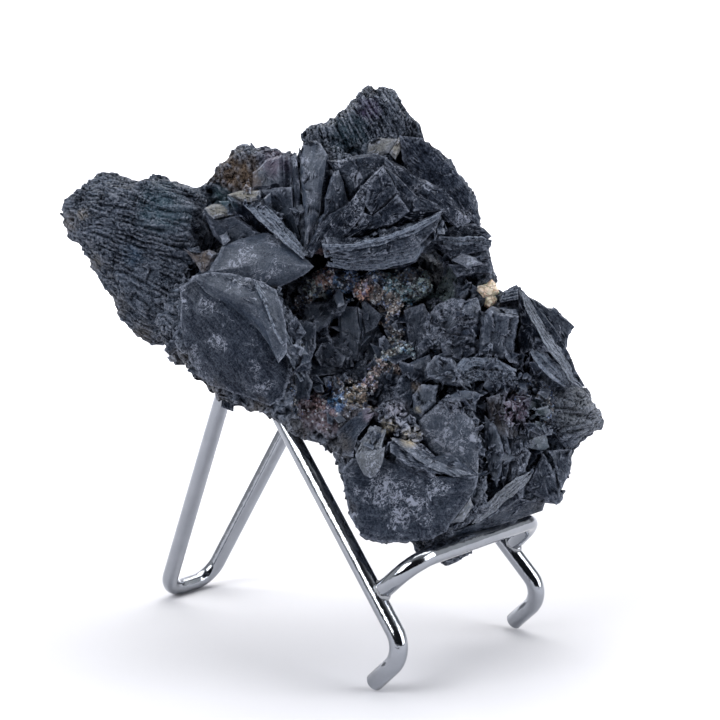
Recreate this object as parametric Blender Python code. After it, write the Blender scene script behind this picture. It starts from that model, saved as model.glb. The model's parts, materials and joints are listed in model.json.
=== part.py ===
"""A berthierite specimen resting on a small easel of bent chromed wire.

The easel stands on the floor, X across it, its front towards -Y, +Z up. The specimen is laid out on a
sheet: a plane square to a line of sight that comes in low from the easel's front left. A sheet place is
(right, up, near) in millimetres, where near is the way towards the eye. Perspective is kept, so a
form's outline on the sheet is the outline seen from the eye at whatever depth it sits.
"""
import math
import random

import bmesh
import bpy
from mathutils import Matrix, Vector

MM = 0.001

# Driving dimensions, millimetres and degrees.
WIRE_RADIUS = 1.6
TOP_CORNER = Vector((14.6, 43.8, 56.7))
FOOT_CORNER = Vector((21.5, 0.0, 8.1))
FOOT_END_Y = 7.1
REAR_BEND_X = 6.3
REAR_BEND_Y = 73.0
LEDGE_JOINT = 0.832
LEDGE_CORNER = Vector((18.8, 0.2, 23.3))
BEND_RADIUS = {"foot": 4.5, "top": 5.0, "rear": 5.0, "ledge": 5.5}
WIRE_SIDES = 10
BEND_STEPS = 5
SETTLING_STEPS = 8
CLEARANCE = 0.3
FLAT_ANGLE = 3.0

SHEET_AZIMUTH = 51.15
SHEET_ELEVATION = 8.26
EYE_DISTANCE = 283.6
SHEET_CENTRE = Vector((-3.25, 24.63, 53.29))

# The cluster's thick lobes: outline, near of the rim, front and back thickness, inset of the faces.
LOBES = {
    "core": ([(-38, 19), (-29, 25), (-19, 30), (-8, 34), (3, 36), (11, 33), (16, 27), (19, 17),
              (24, 9), (31, 4), (33, -5), (32, -16), (26, -23.5), (18, -28), (8, -29), (0.5, -27),
              (-3, -20), (-10, -12.5), (-22, -6), (-33, 4)], -12, 5, 10, 0.7),
    "left_lobe": ([(-54.3, 27.9), (-53.5, 29.5), (-52.3, 29.8), (-49.7, 32.6), (-47.2, 34), (-44.4, 34),
                   (-42.4, 33.2), (-39.6, 32.4), (-37.6, 33.9), (-36.4, 33.8), (-33, 32.3),
                   (-29.4, 30.8), (-26.5, 28.5), (-25.5, 22), (-26, 15), (-28, 7), (-30, 1.6),
                   (-35.2, 1.9), (-39.3, 3.2), (-42.2, 6.2), (-43.9, 7.8), (-44.4, 10.3),
                   (-46.5, 13.2), (-48, 16), (-49.6, 18.8), (-51, 21), (-53.2, 22.3), (-53.9, 25)],
                  0, 7, 11, 0.66),
    "lower_rim": ([(-37, 7), (-35.4, 1.8), (-34.3, 0.8), (-32, -1.1), (-30.3, -3.7), (-28.8, -3.8),
                   (-27.4, -6), (-25, -8), (-22.8, -9.9), (-18, -10.7), (-15.2, -11.1),
                   (-12.8, -13.2), (-10.7, -14.6), (-8, -13), (-9.5, -7), (-12, 0), (-15, 8),
                   (-20, 14), (-28, 17), (-34, 13)], 9, 6, 9, 0.8),
    "top_shoulder": ([(-23, 19), (-27.5, 26), (-20, 32), (-12, 37.3), (-4, 37.4), (5, 36.5), (13, 31.5),
                      (17.5, 26), (16, 20), (9, 18), (0, 18.5), (-9, 19.5), (-15, 17)], 0, 9, 17, 0.74),
    "right_shoulder": ([(12, 10), (16, 17), (20, 18), (23.6, 18.5), (24.6, 13), (28, 10), (33.5, 6.5),
                        (36.5, 1), (37.5, -6), (35, -18), (31, -24), (24, -26), (16, -20), (12, -12),
                        (10.5, -3)], -1, 8, 18, 0.74),
    "saddle": ([(-13, -9), (-12.6, -13), (-10.7, -14.5), (-8, -15.2), (-5.6, -16.8), (-2, -18),
                (6, -20), (14, -22), (22, -24), (25, -16), (21, -8), (12, -5.5), (3, -8.5), (-6, -6)],
               8, 4, 12, 0.85),
    "bed_upper_left": ([(-12, 9), (-10.6, 13.4), (-6, 17.6), (-1.6, 15.6), (-1.8, 12.6), (-6, 11.4),
                        (-8, 8)], -1, 1.5, 14, 0.8),
    "bed_upper_right": ([(-1.4, 11.6), (-0.6, 15.4), (3, 16.2), (8, 17), (12.6, 16.4), (13, 12),
                         (9, 8.6), (7.6, 4.6), (4.4, 5), (4, 9)], 0.5, 1.5, 18, 0.8),
    "bed_lower_right": ([(3, 1.6), (5, 3.6), (9.4, 3.2), (10.4, 0.4), (7.6, -2.6), (5, -5.4),
                         (0.8, -5), (1, -1.8)], 3, 1.5, 14, 0.8),
    "bed_lower_left": ([(-9, -3.4), (-3, -3), (2.6, -4.4), (2, -7.4), (-2.6, -10.4), (-7.4, -10.6),
                        (-9.6, -7)], 6.5, 1.5, 12, 0.85),
    "bottom_lobe": ([(-5.8, -16.4), (-4.4, -18.6), (-3.6, -21.6), (-2.8, -25.6), (-1.9, -29),
                     (-0.5, -31.8), (0.9, -33.1), (3.6, -33.7), (5.6, -33.4), (9.7, -33.5),
                     (15, -33), (21, -31), (24, -27), (23, -21), (14, -17.5), (5, -14), (-2, -13.5)],
                    15.5, 3.5, 12, 0.85),
    "bottom_tip": ([(9.2, -31.5), (9.6, -33.6), (10, -35.2), (12.2, -36.4), (14.3, -37.5), (15.5, -37.8),
                    (17.3, -36.9), (19.3, -35.9), (21.5, -34.4), (25, -31.8), (29, -29.8), (24, -26),
                    (15, -27)], 8, 6, 10, 0.8),
    "right_wedge": ([(16, -31.8), (21.5, -28.4), (27, -25.3), (30.5, -23.8), (32.4, -24.6),
                     (34, -26.1), (32.4, -27.5), (28, -30), (22, -32.4)], 4, 4, 8, 0.6),
    "top_lobe": ([(-10.8, 41.3), (-10.2, 41.9), (-7, 42.4), (-6, 43), (-3, 45.3), (-1.7, 45.9),
                  (-1.5, 46.8), (-0.3, 48.6), (0.9, 49.8), (1.9, 50.2), (3.1, 48.7), (3.7, 49.5),
                  (4.6, 49.8), (5.6, 49.4), (7.2, 47.2), (9.6, 44.2), (11.1, 42.5), (12, 40.5),
                  (11, 35), (2, 32), (-8, 33), (-10.7, 38.5)], -4, 5, 14, 0.66),
    "brown_lump": ([(-29.6, 30.9), (-30, 31.9), (-27.7, 32.3), (-26.8, 35), (-25.9, 36), (-24.6, 36.5),
                    (-23.6, 38.4), (-21.5, 39.4), (-20.2, 39.6), (-18.9, 39), (-17.4, 39.1),
                    (-14.2, 38.5), (-13.9, 37.9), (-11.4, 37.7), (-11, 32), (-17, 28), (-25, 27)],
                   -2, 4, 13, 0.66),
    "back_plate": ([(7, 40.6), (8.6, 41.2), (10.5, 41), (12.6, 40.1), (15, 38.1), (16.9, 36.5),
                    (17.8, 34.6), (20, 32.3), (22, 28.4), (22.4, 24.9), (22.7, 23.8), (18, 20),
                    (12, 24), (5, 33)], 0, 4, 15, 0.66),
    "right_ledges": ([(22.7, 23.8), (24, 22.5), (23.2, 21.6), (24, 20.8), (23.3, 19.9), (24, 18.6),
                      (24.3, 16.4), (25.1, 15.2), (25.3, 13.2), (21, 11), (16, 14), (14, 20),
                      (17, 24)], 1, 4, 15, 0.66),
    "right_lobe": ([(36, -4.6), (38.8, -4.7), (40.8, -4.8), (41.9, -5.9), (41.8, -7), (42.8, -8),
                    (43.6, -9.4), (44.1, -10.8), (43.8, -12), (43.1, -13), (41.8, -13.9),
                    (40.8, -14.1), (39.4, -15.7), (38.6, -16.1), (34, -17), (29, -13), (29, -6)],
                   0, 5, 10, 0.66),
    "right_foot": ([(38.6, -15.8), (38.5, -17.2), (38.9, -18.6), (38.3, -20), (38.4, -21.2),
                    (36.6, -22.8), (37.1, -25), (36.5, -26.2), (35.5, -26.2), (34.2, -26.1),
                    (31, -24.2), (28, -20), (30, -15), (34, -13.5)], 0, 4, 12, 0.66),
    "right_crown": ([(25.2, 13.2), (26.6, 13.1), (28.7, 13.7), (30, 11.9), (32.6, 10.3), (34, 9.4),
                     (35.1, 9.7), (37, 8.2), (39.2, 6.1), (38.2, 4.2), (37.5, 2), (38.6, -1),
                     (39.9, -4.2), (33, -6), (24, 0), (22, 7)], 0, 5, 13, 0.66),
}

# The core leans back with the uprights: near per mm right and per mm up.
CORE_LEAN = (-0.2, -0.3)

# The crystal blades that show: outline, near of the rim, lean (near per mm right and up), front and
# back thickness, inset and crown of the face, then how many parallel copies stand behind it and how
# far apart (right, up, near).
BLADES = {
    "lens_lower": ([(-32.3, 16), (-33, 13.5), (-32.2, 9), (-32.9, 4.5), (-31.4, -0.5), (-28.9, -3.6),
                    (-25, -5.2), (-21.5, -6.6), (-17, -8.3), (-14.2, -8), (-14, -6), (-15, -1),
                    (-16, 4), (-20, 10), (-26, 15)], 15.5, (0.05, 0.02), 2.2, 2.5, 0.62, 1.6,
                   0, (0, 0, 0)),
    "lens_upper": ([(-30, 15.4), (-28, 16.1), (-24, 15.7), (-20, 14.7), (-17.4, 14.2), (-15.9, 12.8),
                    (-14.5, 10.4), (-14.2, 5), (-14.8, 0.2), (-16, -0.6), (-17.5, 2.8), (-20, 6.2),
                    (-24, 10.3), (-28.4, 13.6)], 18.5, (0, -0.1), 1.4, 2.4, 0.6, 1.4, 0, (0, 0, 0)),
    "lens_edges": ([(-17.4, 14.2), (-15.4, 12.2), (-13.6, 9), (-12.6, 5), (-12, 0), (-11.8, -3.9),
                    (-13.4, -2.6), (-15, 1), (-16.4, 6), (-18, 10)], 17, (-0.25, 0), 0.9, 0.9, 0.6,
                   0.4, 2, (1.1, 0.1, -1.7)),
    "upper_lens": ([(-26.5, 20), (-25, 21.3), (-23.4, 22.2), (-20.5, 22.9), (-17.2, 23.3),
                    (-16, 23.8), (-15.1, 23.2), (-13.4, 22), (-11.2, 20.3), (-9.6, 18.2),
                    (-8.4, 16.8), (-10.2, 15.3), (-12, 14.2), (-15, 12.8), (-20, 12.6), (-27.6, 15.8),
                    (-26.7, 17.6)], 11.5, (0.02, -0.2), 2.4, 3, 0.62, 1.4, 0, (0, 0, 0)),
    "brown_flake": ([(-31.8, 20.2), (-29.3, 20.3), (-27.5, 20.1), (-26.3, 19.5), (-26.5, 18.2),
                     (-28.5, 15.9), (-30.2, 17.9)], 10, (0, 0), 0.8, 3, 0.7, 0.3, 0, (0, 0, 0)),
    "fan_outer": ([(-28.5, 26), (-28.2, 27.8), (-25.5, 28.4), (-23.9, 28.2), (-22.6, 26.6),
                   (-20, 24.4), (-17.8, 23.2), (-21, 21), (-25, 20.5), (-26.4, 23)], 8.5,
                  (0, 0.1), 1, 4, 0.85, 0, 0, (0, 0, 0)),
    "fan_second": ([(-24.4, 30), (-21.8, 30.8), (-18.2, 30.7), (-17.6, 28.6), (-15, 25.2),
                    (-11.4, 21.2), (-13, 20), (-16.4, 23.4), (-20, 24.6), (-23, 28)], 9.5,
                   (0, 0.12), 0.8, 3, 0.85, 0, 1, (1.3, 0.6, -1.2)),
    "fan_dark": ([(-18, 30.6), (-15, 31.3), (-12, 31.3), (-11.6, 27), (-11.8, 22), (-13.4, 22.4),
                  (-15.6, 26)], 6.5, (0.1, 0.2), 0.8, 4, 0.85, 0, 0, (0, 0, 0)),
    "fan_block": ([(-19.4, 31), (-19.4, 34.2), (-18.2, 35), (-16.2, 36.8), (-14, 37.3), (-12.2, 37.5),
                   (-11.8, 31.2), (-15, 30.9)], 5.5, (0, 0.05), 1.2, 4, 0.85, 0, 0, (0, 0, 0)),
    "fan_splinter": ([(-12.6, 36.4), (-11.8, 37.5), (-11, 37), (-10.7, 33), (-11, 28), (-11.7, 24.6),
                      (-12.2, 30)], 8.5, (0.2, 0.05), 0.8, 4, 0.7, 0, 0, (0, 0, 0)),
    "fan_tall": ([(-10.9, 37.8), (-10.3, 39.2), (-9.2, 39.9), (-8.1, 39.7), (-6.4, 38.5), (-5.9, 37.4),
                  (-6.2, 31), (-6.9, 27), (-8.4, 25.2), (-9.6, 26), (-10.2, 30)], 9, (0.15, 0.05),
                 1.2, 5, 0.72, 0.4, 0, (0, 0, 0)),
    "fan_lumps": ([(-6.2, 38.4), (-4.2, 38.9), (-2.8, 38.2), (-1.6, 37.4), (-1, 35.8), (-3.4, 35.4),
                   (-6, 35.8)], 5.5, (0, 0), 1.4, 5, 0.7, 0.5, 0, (0, 0, 0)),
    "fan_tooth": ([(-5.3, 33.2), (-4.7, 34.3), (-3.9, 34.5), (-3.1, 32.4), (-2, 28.2), (-3.6, 26.6),
                   (-6.8, 25.6), (-6.4, 30)], 9.5, (0.12, 0.05), 0.8, 4, 0.7, 0.3, 0, (0, 0, 0)),
    "fan_inner": ([(-8.2, 25.2), (-6, 26.8), (-4.2, 27.6), (-3.4, 26.8), (-5.6, 23.6), (-7.4, 20.8),
                   (-9.8, 19), (-10, 21.4)], 10.5, (-0.1, 0.1), 0.8, 5, 0.75, 0.3, 0, (0, 0, 0)),
    "rim_left": ([(-6, 36.3), (-3.4, 36.2), (-1, 37.2), (2.5, 37.6), (5, 36.8), (4.4, 34.6),
                  (2, 33.4), (-0.2, 30.8), (-2.2, 28.6), (-3.6, 32.6)], 8.5, (0, 0.1), 1, 5, 0.8, 0,
                 0, (0, 0, 0)),
    "rim_right": ([(4.4, 36.9), (8, 35.1), (10.5, 33.2), (13, 32.2), (15, 31.1), (16.8, 29.4),
                   (18.4, 27.2), (20.2, 25.3), (17.8, 24), (15.2, 25.6), (13, 28), (9, 30),
                   (4.6, 33)], 10, (-0.1, 0), 1.2, 6, 0.8, 0.4, 0, (0, 0, 0)),
    "pyramid": ([(-7, 21.4), (-6.3, 23), (-4.8, 24.5), (-3.4, 26.6), (-1.7, 28.4), (0.2, 31),
                 (2.4, 34), (4.2, 35.4), (5.7, 34.4), (8.5, 32.4), (11.6, 29.6), (14, 28.4),
                 (15.3, 27.2), (12, 25.4), (8, 24.6), (3, 23.4), (-1, 21.8), (-5, 20.4),
                 (-6.5, 19.4)], 12, (0, -0.12), 1.8, 5, 0.5, 2.6, 0, (0, 0, 0)),
    "edge_band": ([(-5, 20.4), (-1.4, 22.6), (3, 25), (8, 26), (12, 26.7), (15.3, 27.3),
                   (14.3, 24.6), (12.3, 22.2), (8, 22.6), (3, 21.9), (-1, 20.7)], 14.5, (0, -0.35),
                  0.8, 0.9, 0.72, 0.3, 2, (0.2, -1, -1.5)),
    "overhang": ([(-1.8, 21), (-1.9, 18.3), (-1, 17.2), (1, 17), (4, 16.5), (8, 16.9), (10.3, 17.8),
                  (11.7, 20), (12.2, 22.2), (8, 23), (2, 22.4)], 9.5, (0, 0.3), 1, 6, 0.8, 0, 0,
                 (0, 0, 0)),
    "notch_left": ([(-5, 20.4), (-1.8, 20.8), (-2, 18.8), (-4.6, 18.4), (-6, 19)], 10.5, (0, 0), 0.8,
                   5, 0.75, 0, 0, (0, 0, 0)),
    "back_facet": ([(0.4, 37.6), (1.4, 39.4), (2.8, 40.3), (5, 40), (7.6, 40.8), (7.4, 38.6),
                    (6.2, 36.2), (3, 36.6)], 3.5, (0, 0), 1, 5, 0.8, 0.4, 0, (0, 0, 0)),
    "ledge_high": ([(13.5, 23.6), (18, 25), (21, 24.8), (22.7, 23.8), (24, 22.5), (23, 21.7),
                    (18, 21.4), (14, 22)], 6, (-0.1, 0), 1, 5, 0.75, 0.2, 0, (0, 0, 0)),
    "ledge_middle": ([(14.2, 21), (17, 21.6), (21, 21.6), (24, 20.8), (23.2, 19.9), (20, 19.2),
                      (16.4, 18.6)], 7, (-0.1, 0), 0.9, 5, 0.75, 0.2, 0, (0, 0, 0)),
    "ledge_low": ([(16, 18.4), (20, 19), (23.8, 19.2), (24.2, 17), (24, 16.1), (20.6, 16.6),
                   (17.6, 16)], 7.5, (-0.1, 0), 0.9, 5, 0.75, 0.2, 0, (0, 0, 0)),
    "big_block": ([(22.2, 8.6), (24.3, 9.2), (29, 8.1), (28.4, 4), (27.9, 0.2), (24, 0.1),
                   (21.6, 0.5), (21.8, 5)], 10, (0.1, 0.1), 1, 6, 0.86, 0, 0, (0, 0, 0)),
    "gable": ([(25, 9.6), (25.4, 11.4), (28.7, 13.6), (29.8, 11.6), (31.4, 8), (29.2, 7.4)], 6,
              (0, 0), 1, 6, 0.75, 0.3, 0, (0, 0, 0)),
    "ridge_blade": ([(30, 11.9), (31.6, 9.6), (34, 5.6), (36.4, 3), (37.4, 1.9), (38.5, -1),
                     (39.5, -3.6), (40.6, -5), (38.6, -5), (36.4, -3.2), (33.6, 0.2), (31.2, 4.4),
                     (29.4, 8.4)], 8, (-0.15, 0), 1, 4, 0.55, 1, 1, (-1.6, -0.4, -2.2)),
    "cube_upper": ([(12, 7.6), (15.2, 9), (19.4, 11.2), (22, 9.6), (21, 6), (19, 3.4), (15, 1.8),
                    (12, 3)], 8.5, (0.05, 0.15), 1.2, 6, 0.82, 0.3, 0, (0, 0, 0)),
    "cube_lower": ([(12, -0.5), (16.8, 0.6), (18.4, -2), (19.6, -5.2), (15.4, -4.6), (12.6, -3.6)],
                   11.5, (0.05, 0.2), 1, 6, 0.85, 0, 0, (0, 0, 0)),
    "shelf_blade": ([(20.4, 0.4), (25, -0.6), (29.6, -2.6), (33.6, -3.6), (30, -5.4), (25, -5),
                     (21.4, -3.6)], 8, (0, 0.3), 1, 5, 0.75, 0.2, 1, (0.5, -1.6, -1.2)),
    "small_lens": ([(14.8, -7.1), (17, -6), (20, -5.5), (22.6, -6.4), (21, -7.8), (17.6, -8.1)], 13,
                   (0, 0.1), 0.9, 4, 0.65, 0.4, 0, (0, 0, 0)),
    "middle_plate": ([(8.6, -1.6), (11.4, -1), (12, -5), (10.6, -9.6), (8.4, -9.4), (6, -7),
                      (6.8, -3.6)], 10, (0.1, 0), 0.9, 5, 0.8, 0.2, 0, (0, 0, 0)),
    "dark_plate": ([(10, -9.6), (14, -8), (20, -8.4), (22, -11), (22.4, -16), (20, -20.6),
                    (15, -17.6), (11, -13)], 11.5, (0.1, 0.05), 1, 5, 0.8, 0.3, 0, (0, 0, 0)),
    "druse_wall": ([(23, -6.5), (28, -5.6), (33, -5.4), (35, -9), (34, -14.6), (30, -16), (28, -12),
                    (24, -13.4)], 7.5, (-0.1, 0), 1.2, 6, 0.8, 0.4, 0, (0, 0, 0)),
    "tall_dark": ([(23.6, -14.4), (26, -14), (27, -18), (26.4, -23.4), (24.4, -22), (23.2, -18)],
                  9, (0, 0), 1, 6, 0.75, 0.4, 1, (3.4, -0.6, -1)),
    "foot_plate": ([(33.4, -18), (36.4, -20), (36.9, -24.6), (35.8, -26.2), (34.2, -25.8),
                    (30.2, -23.4), (31, -20)], 4.5, (-0.1, 0), 0.8, 5, 0.8, 0.2, 0, (0, 0, 0)),
    "pale_strip": ([(31.8, -19.9), (30.2, -22.4), (27, -24.5), (23.6, -27.2), (20, -29.8),
                    (19.4, -29.6), (22.6, -26.8), (26, -23.8), (29, -21.2)], 8.5, (-0.25, 0), 0.9, 4,
                   0.6, 0.3, 0, (0, 0, 0)),
    "dusty_spur": ([(0.4, -8.8), (5, -8.4), (9, -12.4), (13.4, -17.6), (8.6, -15.6), (4.4, -12.8)],
                   14, (0, 0), 1.2, 6, 0.6, 0.8, 0, (0, 0, 0)),
    "bottom_plate": ([(-3.4, -20), (-2.9, -24), (-2, -28.4), (0, -31.6), (2.4, -32.9), (7, -32.8),
                      (14.6, -31.6), (20.6, -28.6), (21.6, -23), (18, -20.8), (13, -20.2),
                      (9, -19.4), (4, -17.6), (0, -17)], 18, (-0.12, -0.08), 1, 5, 0.86, 0.9, 0,
                     (0, 0, 0)),
    "bottom_lens": ([(-1.2, -17), (0.3, -20), (2, -21.7), (3.8, -19.2), (4.2, -17.4), (3.2, -15.2),
                     (5.2, -12.8), (3.8, -11.8), (1.2, -13), (-0.8, -15.8)], 19.5, (0, 0), 1, 5, 0.6,
                    0.6, 0, (0, 0, 0)),
    "hollow_fin": ([(-3.6, 6.6), (-2.2, 9.8), (-0.2, 9.4), (0, 4), (-0.4, 0.6), (-2, 0), (-3.8, 2)],
                   -2, (0.4, 0), 0.8, 7, 0.7, 0.2, 0, (0, 0, 0)),
    "hollow_left": ([(-9.6, 8.6), (-4.4, 9.2), (-3.8, 8.4), (-5.6, 5.2), (-7.2, 4), (-9.4, 6)], 0,
                    (-0.3, 0.2), 0.8, 8, 0.75, 0.2, 0, (0, 0, 0)),
    "hollow_top": ([(-6.4, 9.6), (-4.6, 11.4), (-2.4, 10.6), (-3, 8.8), (-5.4, 8.8)], 1.5, (0, 0.2),
                   0.7, 8, 0.75, 0.2, 0, (0, 0, 0)),
    "hollow_right": ([(0.4, 10), (2, 10.8), (4.4, 8), (3.2, 5.8), (0.6, 6.4)], -1, (0.1, 0), 0.8, 7,
                     0.75, 0.2, 0, (0, 0, 0)),
    "hollow_low": ([(-7.4, 1.6), (-6, 2.9), (-3.4, 1.4), (-1.6, -0.8), (-5.4, -0.8)], 0, (0, 0.2),
                   0.8, 8, 0.75, 0.2, 0, (0, 0, 0)),
    "hollow_tooth": ([(-10.6, 5.4), (-7.8, 5.3), (-8, 1.6), (-9.2, -0.6), (-10.2, 1)], 8, (0, 0), 0.8,
                     10, 0.75, 0.2, 0, (0, 0, 0)),
}

# The fused ridges of the three combed lobes: where the rows start and end, and the ridge's size.
COMBS = {
    "left": {"rows": 9, "starts": [(-42, 8.4), (-47.6, 17.4), (-52.2, 24.6), (-50, 31), (-44.6, 33),
                                    (-37.6, 32.8)],
             "ends": [(-35, 4.4), (-32.4, 8.4), (-30.4, 14.4), (-29, 20.4), (-28.6, 25.4), (-28.4, 29.4)],
             "near": 7, "sag": 3.6, "width": 0.95, "height": 1.1},
    "top": {"rows": 6, "starts": [(-9.6, 41.2), (-2.4, 44.8), (0.8, 48.6), (4.8, 48.6), (8.4, 44.4)],
            "ends": [(-7.6, 38.6), (-0.6, 38.4), (3.4, 40.4), (7.2, 41), (10.6, 41)],
            "near": 0.8, "sag": 1, "width": 0.8, "height": 1},
    "right": {"rows": 4, "starts": [(36.6, -5.6), (36.4, -10), (36.6, -14.4)],
              "ends": [(41, -5.8), (43.4, -10.6), (39.6, -14.6)], "near": 4.4, "sag": 1.4,
              "width": 0.6, "height": 1},
}

# Lumps of the hollow's crust, each (right, up, near, radius); they are flat towards the eye.
CRUST_FLATNESS = 0.6
CRUST_LUMPS = [
    (-10.2, 10.6, 1, 1.9), (-8.6, 12.8, 1.2, 2.3), (-6.4, 14.8, 1.4, 2.4), (-4, 13.6, 1.2, 2.2),
    (-1.6, 14.6, 1.4, 2.2), (0.8, 12.8, 2.6, 2.3), (2.8, 14.6, 2.4, 2.1), (3.4, 11.6, 2.6, 2.2),
    (5.6, 13.4, 2.8, 2.4), (6, 10.4, 2.8, 2.4), (8, 12.4, 3, 2.5), (8.6, 15, 2.2, 2),
    (11, 13.4, 2.6, 2.4), (6, 7.4, 2.4, 2.2), (6.2, 5.2, 3, 2.2), (6.4, 3, 4, 2.2),
    (8.4, 1.4, 5, 2.2), (5.2, 0.6, 5, 2.2), (3.8, -1.6, 5.2, 2.3), (6, -2, 5.2, 2),
    (2.8, -3.8, 6, 2.2), (1.6, -4.8, 7.2, 2.1), (0, -6, 8, 2.3), (-2, -6.6, 8.6, 2.3),
    (-4.2, -7.6, 8.8, 2.3), (-2.2, -9, 8.6, 1.9), (-6, -9, 8.6, 2), (-4.8, -4.8, 8, 1.9),
]

# The pale crystal pair: outline, near, front and back thickness.
PALE_OUTLINES = [
    [(21.2, 12.8), (21.5, 13.5), (23, 13.9), (24, 14.8), (24.6, 14.2), (25.4, 12.2), (24.2, 11.4),
     (22.4, 11.4)],
    [(22.5, 9.8), (23, 11.6), (24.4, 12), (25, 11), (24.9, 10.2), (23.4, 9.2)],
]
PALE_NEAR = 7.2
PALE_THICKNESS = 1.5
PALE_RADIUS = 1.5


def sheet_axes():
    """The sheet's right, up and toward-the-eye directions."""
    azimuth = math.radians(SHEET_AZIMUTH)
    elevation = math.radians(SHEET_ELEVATION)
    toward = Vector((-math.sin(azimuth) * math.cos(elevation),
                     -math.cos(azimuth) * math.cos(elevation), math.sin(elevation)))
    right = Vector((math.cos(azimuth), -math.sin(azimuth), 0))
    return right, toward.cross(right), toward


RIGHT, UP, TOWARD = sheet_axes()
EYE = SHEET_CENTRE + TOWARD * EYE_DISTANCE


def on_sheet(right, up, near):
    """The place of a sheet point, moved `near` mm along its line of sight."""
    flat = SHEET_CENTRE + RIGHT * right + UP * up
    return EYE + (flat - EYE) * ((EYE_DISTANCE - near) / EYE_DISTANCE)


def material(name, colour, metallic, roughness):
    """A plain Principled material."""
    made = bpy.data.materials.new(name)
    made.use_nodes = True
    shader = made.node_tree.nodes["Principled BSDF"]
    shader.inputs["Base Color"].default_value = (*colour, 1)
    shader.inputs["Metallic"].default_value = metallic
    shader.inputs["Roughness"].default_value = roughness
    return made


def object_from(name, mesh_builder, collection=None):
    """Turn a bmesh in millimetres into an object in metres."""
    bmesh.ops.recalc_face_normals(mesh_builder, faces=mesh_builder.faces)
    mesh_builder.transform(Matrix.Scale(MM, 4))
    mesh = bpy.data.meshes.new(name)
    mesh_builder.to_mesh(mesh)
    mesh_builder.free()
    made = bpy.data.objects.new(name, mesh)
    (collection or bpy.context.scene.collection).objects.link(made)
    return made


def centre_of(outline):
    """Mean point of an outline."""
    count = len(outline)
    return sum(p[0] for p in outline) / count, sum(p[1] for p in outline) / count


def ring(build, outline, scale, near, lean):
    """One ring of vertices: the outline, scaled about its centre, on a leaning plane."""
    mid_right, mid_up = centre_of(outline)
    verts = []
    for right, up in outline:
        offset_right = (right - mid_right) * scale
        offset_up = (up - mid_up) * scale
        depth = near + lean[0] * offset_right + lean[1] * offset_up
        verts.append(build.verts.new(on_sheet(mid_right + offset_right, mid_up + offset_up, depth)))
    return verts


def skin(build, first, second):
    """Quads between two rings of the same count."""
    count = len(first)
    for i in range(count):
        j = (i + 1) % count
        build.faces.new((first[i], first[j], second[j], second[i]))


def cap(build, verts, outline, near, lean, crown):
    """Close a ring: a flat face, or a fan to a crowned middle."""
    if not crown:
        build.faces.new(verts)
        return
    apex = build.verts.new(on_sheet(*centre_of(outline), near + crown))
    for i, vert in enumerate(verts):
        build.faces.new((vert, verts[(i + 1) % len(verts)], apex))


def add_slab(build, outline, near, lean, front, back, inset, crown):
    """A closed lens-like slab: sharp rim on the outline, an inset face in front and one behind."""
    rim = ring(build, outline, 1, near, lean)
    face = ring(build, outline, inset, near + front, lean)
    rear = ring(build, outline, inset, near - back, lean)
    skin(build, rim, face)
    skin(build, rear, rim)
    cap(build, face, outline, near + front, lean, crown)
    cap(build, list(reversed(rear)), outline, near - back, lean, 0)


def blade_shells(blade):
    """The slabs of one blade and of the parallel copies behind it."""
    outline, near, lean, front, back, inset, crown, copies, step = blade
    for copy in range(copies + 1):
        moved = [(r + copy * step[0], u + copy * step[1]) for r, u in outline]
        yield moved, near + copy * step[2], lean, front, back, inset, crown


def along_line(points, share):
    """The point at a share of the way through a list of points."""
    place = share * (len(points) - 1)
    index = min(int(place), len(points) - 2)
    part = place - index
    first, second = points[index], points[index + 1]
    return Vector(first).lerp(Vector(second), part)


def comb_ridges(comb, dice):
    """Narrow fused ridges side by side across a combed lobe, bowed to its swell."""
    for row in range(comb["rows"]):
        share = row / (comb["rows"] - 1)
        start = along_line(comb["starts"], share)
        run = along_line(comb["ends"], share) - start
        side = Vector((-run.y, run.x)).normalized() * comb["width"]
        near = comb["near"] - comb["sag"] * abs(2 * share - 1) ** 2 + dice.uniform(-0.3, 0.3)
        outline = []
        for along, across in ((0, 0), (0.2, 1), (0.7, 1.1), (1, 0.1), (0.75, -1), (0.25, -0.9)):
            outline.append(tuple(start + run * along + side * across))
        yield outline, near, (0, 0), comb["height"] * 0.6, comb["height"] * 2.6, 0.55, 0.3


def core_back(right, up):
    """Near of the core's back face at a sheet place."""
    outline, near, _, back, _ = LOBES["core"]
    mid_right, mid_up = centre_of(outline)
    return near - back + CORE_LEAN[0] * (right - mid_right) + CORE_LEAN[1] * (up - mid_up)


def back_blades(dice):
    """Broken plates over the specimen's back, each (right, up, size) on the core's back face."""
    for right, up, size in ((-22, 20, 8), (-5, 27, 9), (9, 27, 8), (19, 8, 10), (25, -9, 9),
                            (16, -21, 8), (3, 14, 9)):
        turn = dice.uniform(0, math.pi)
        outline = []
        for corner in range(5):
            angle = turn + corner * math.tau / 5 + dice.uniform(-0.2, 0.2)
            reach = size * dice.uniform(0.7, 1)
            outline.append((right + reach * math.cos(angle), up + reach * math.sin(angle)))
        lean = (CORE_LEAN[0] + dice.uniform(-0.15, 0.15), CORE_LEAN[1] + dice.uniform(-0.15, 0.15))
        yield outline, core_back(right, up) + 0.5, lean, 5, dice.uniform(1.5, 3), 0.6, 0


def boolean(target, operand, operation):
    """Apply one exact Boolean of an object or a collection to the target's mesh."""
    modifier = target.modifiers.new(operation, "BOOLEAN")
    modifier.operation = operation
    modifier.solver = "EXACT"
    if isinstance(operand, bpy.types.Collection):
        modifier.operand_type = "COLLECTION"
        modifier.collection = operand
    else:
        modifier.object = operand
    graph = bpy.context.evaluated_depsgraph_get()
    mesh = bpy.data.meshes.new_from_object(target.evaluated_get(graph))
    target.modifiers.clear()
    target.data = mesh


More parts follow.
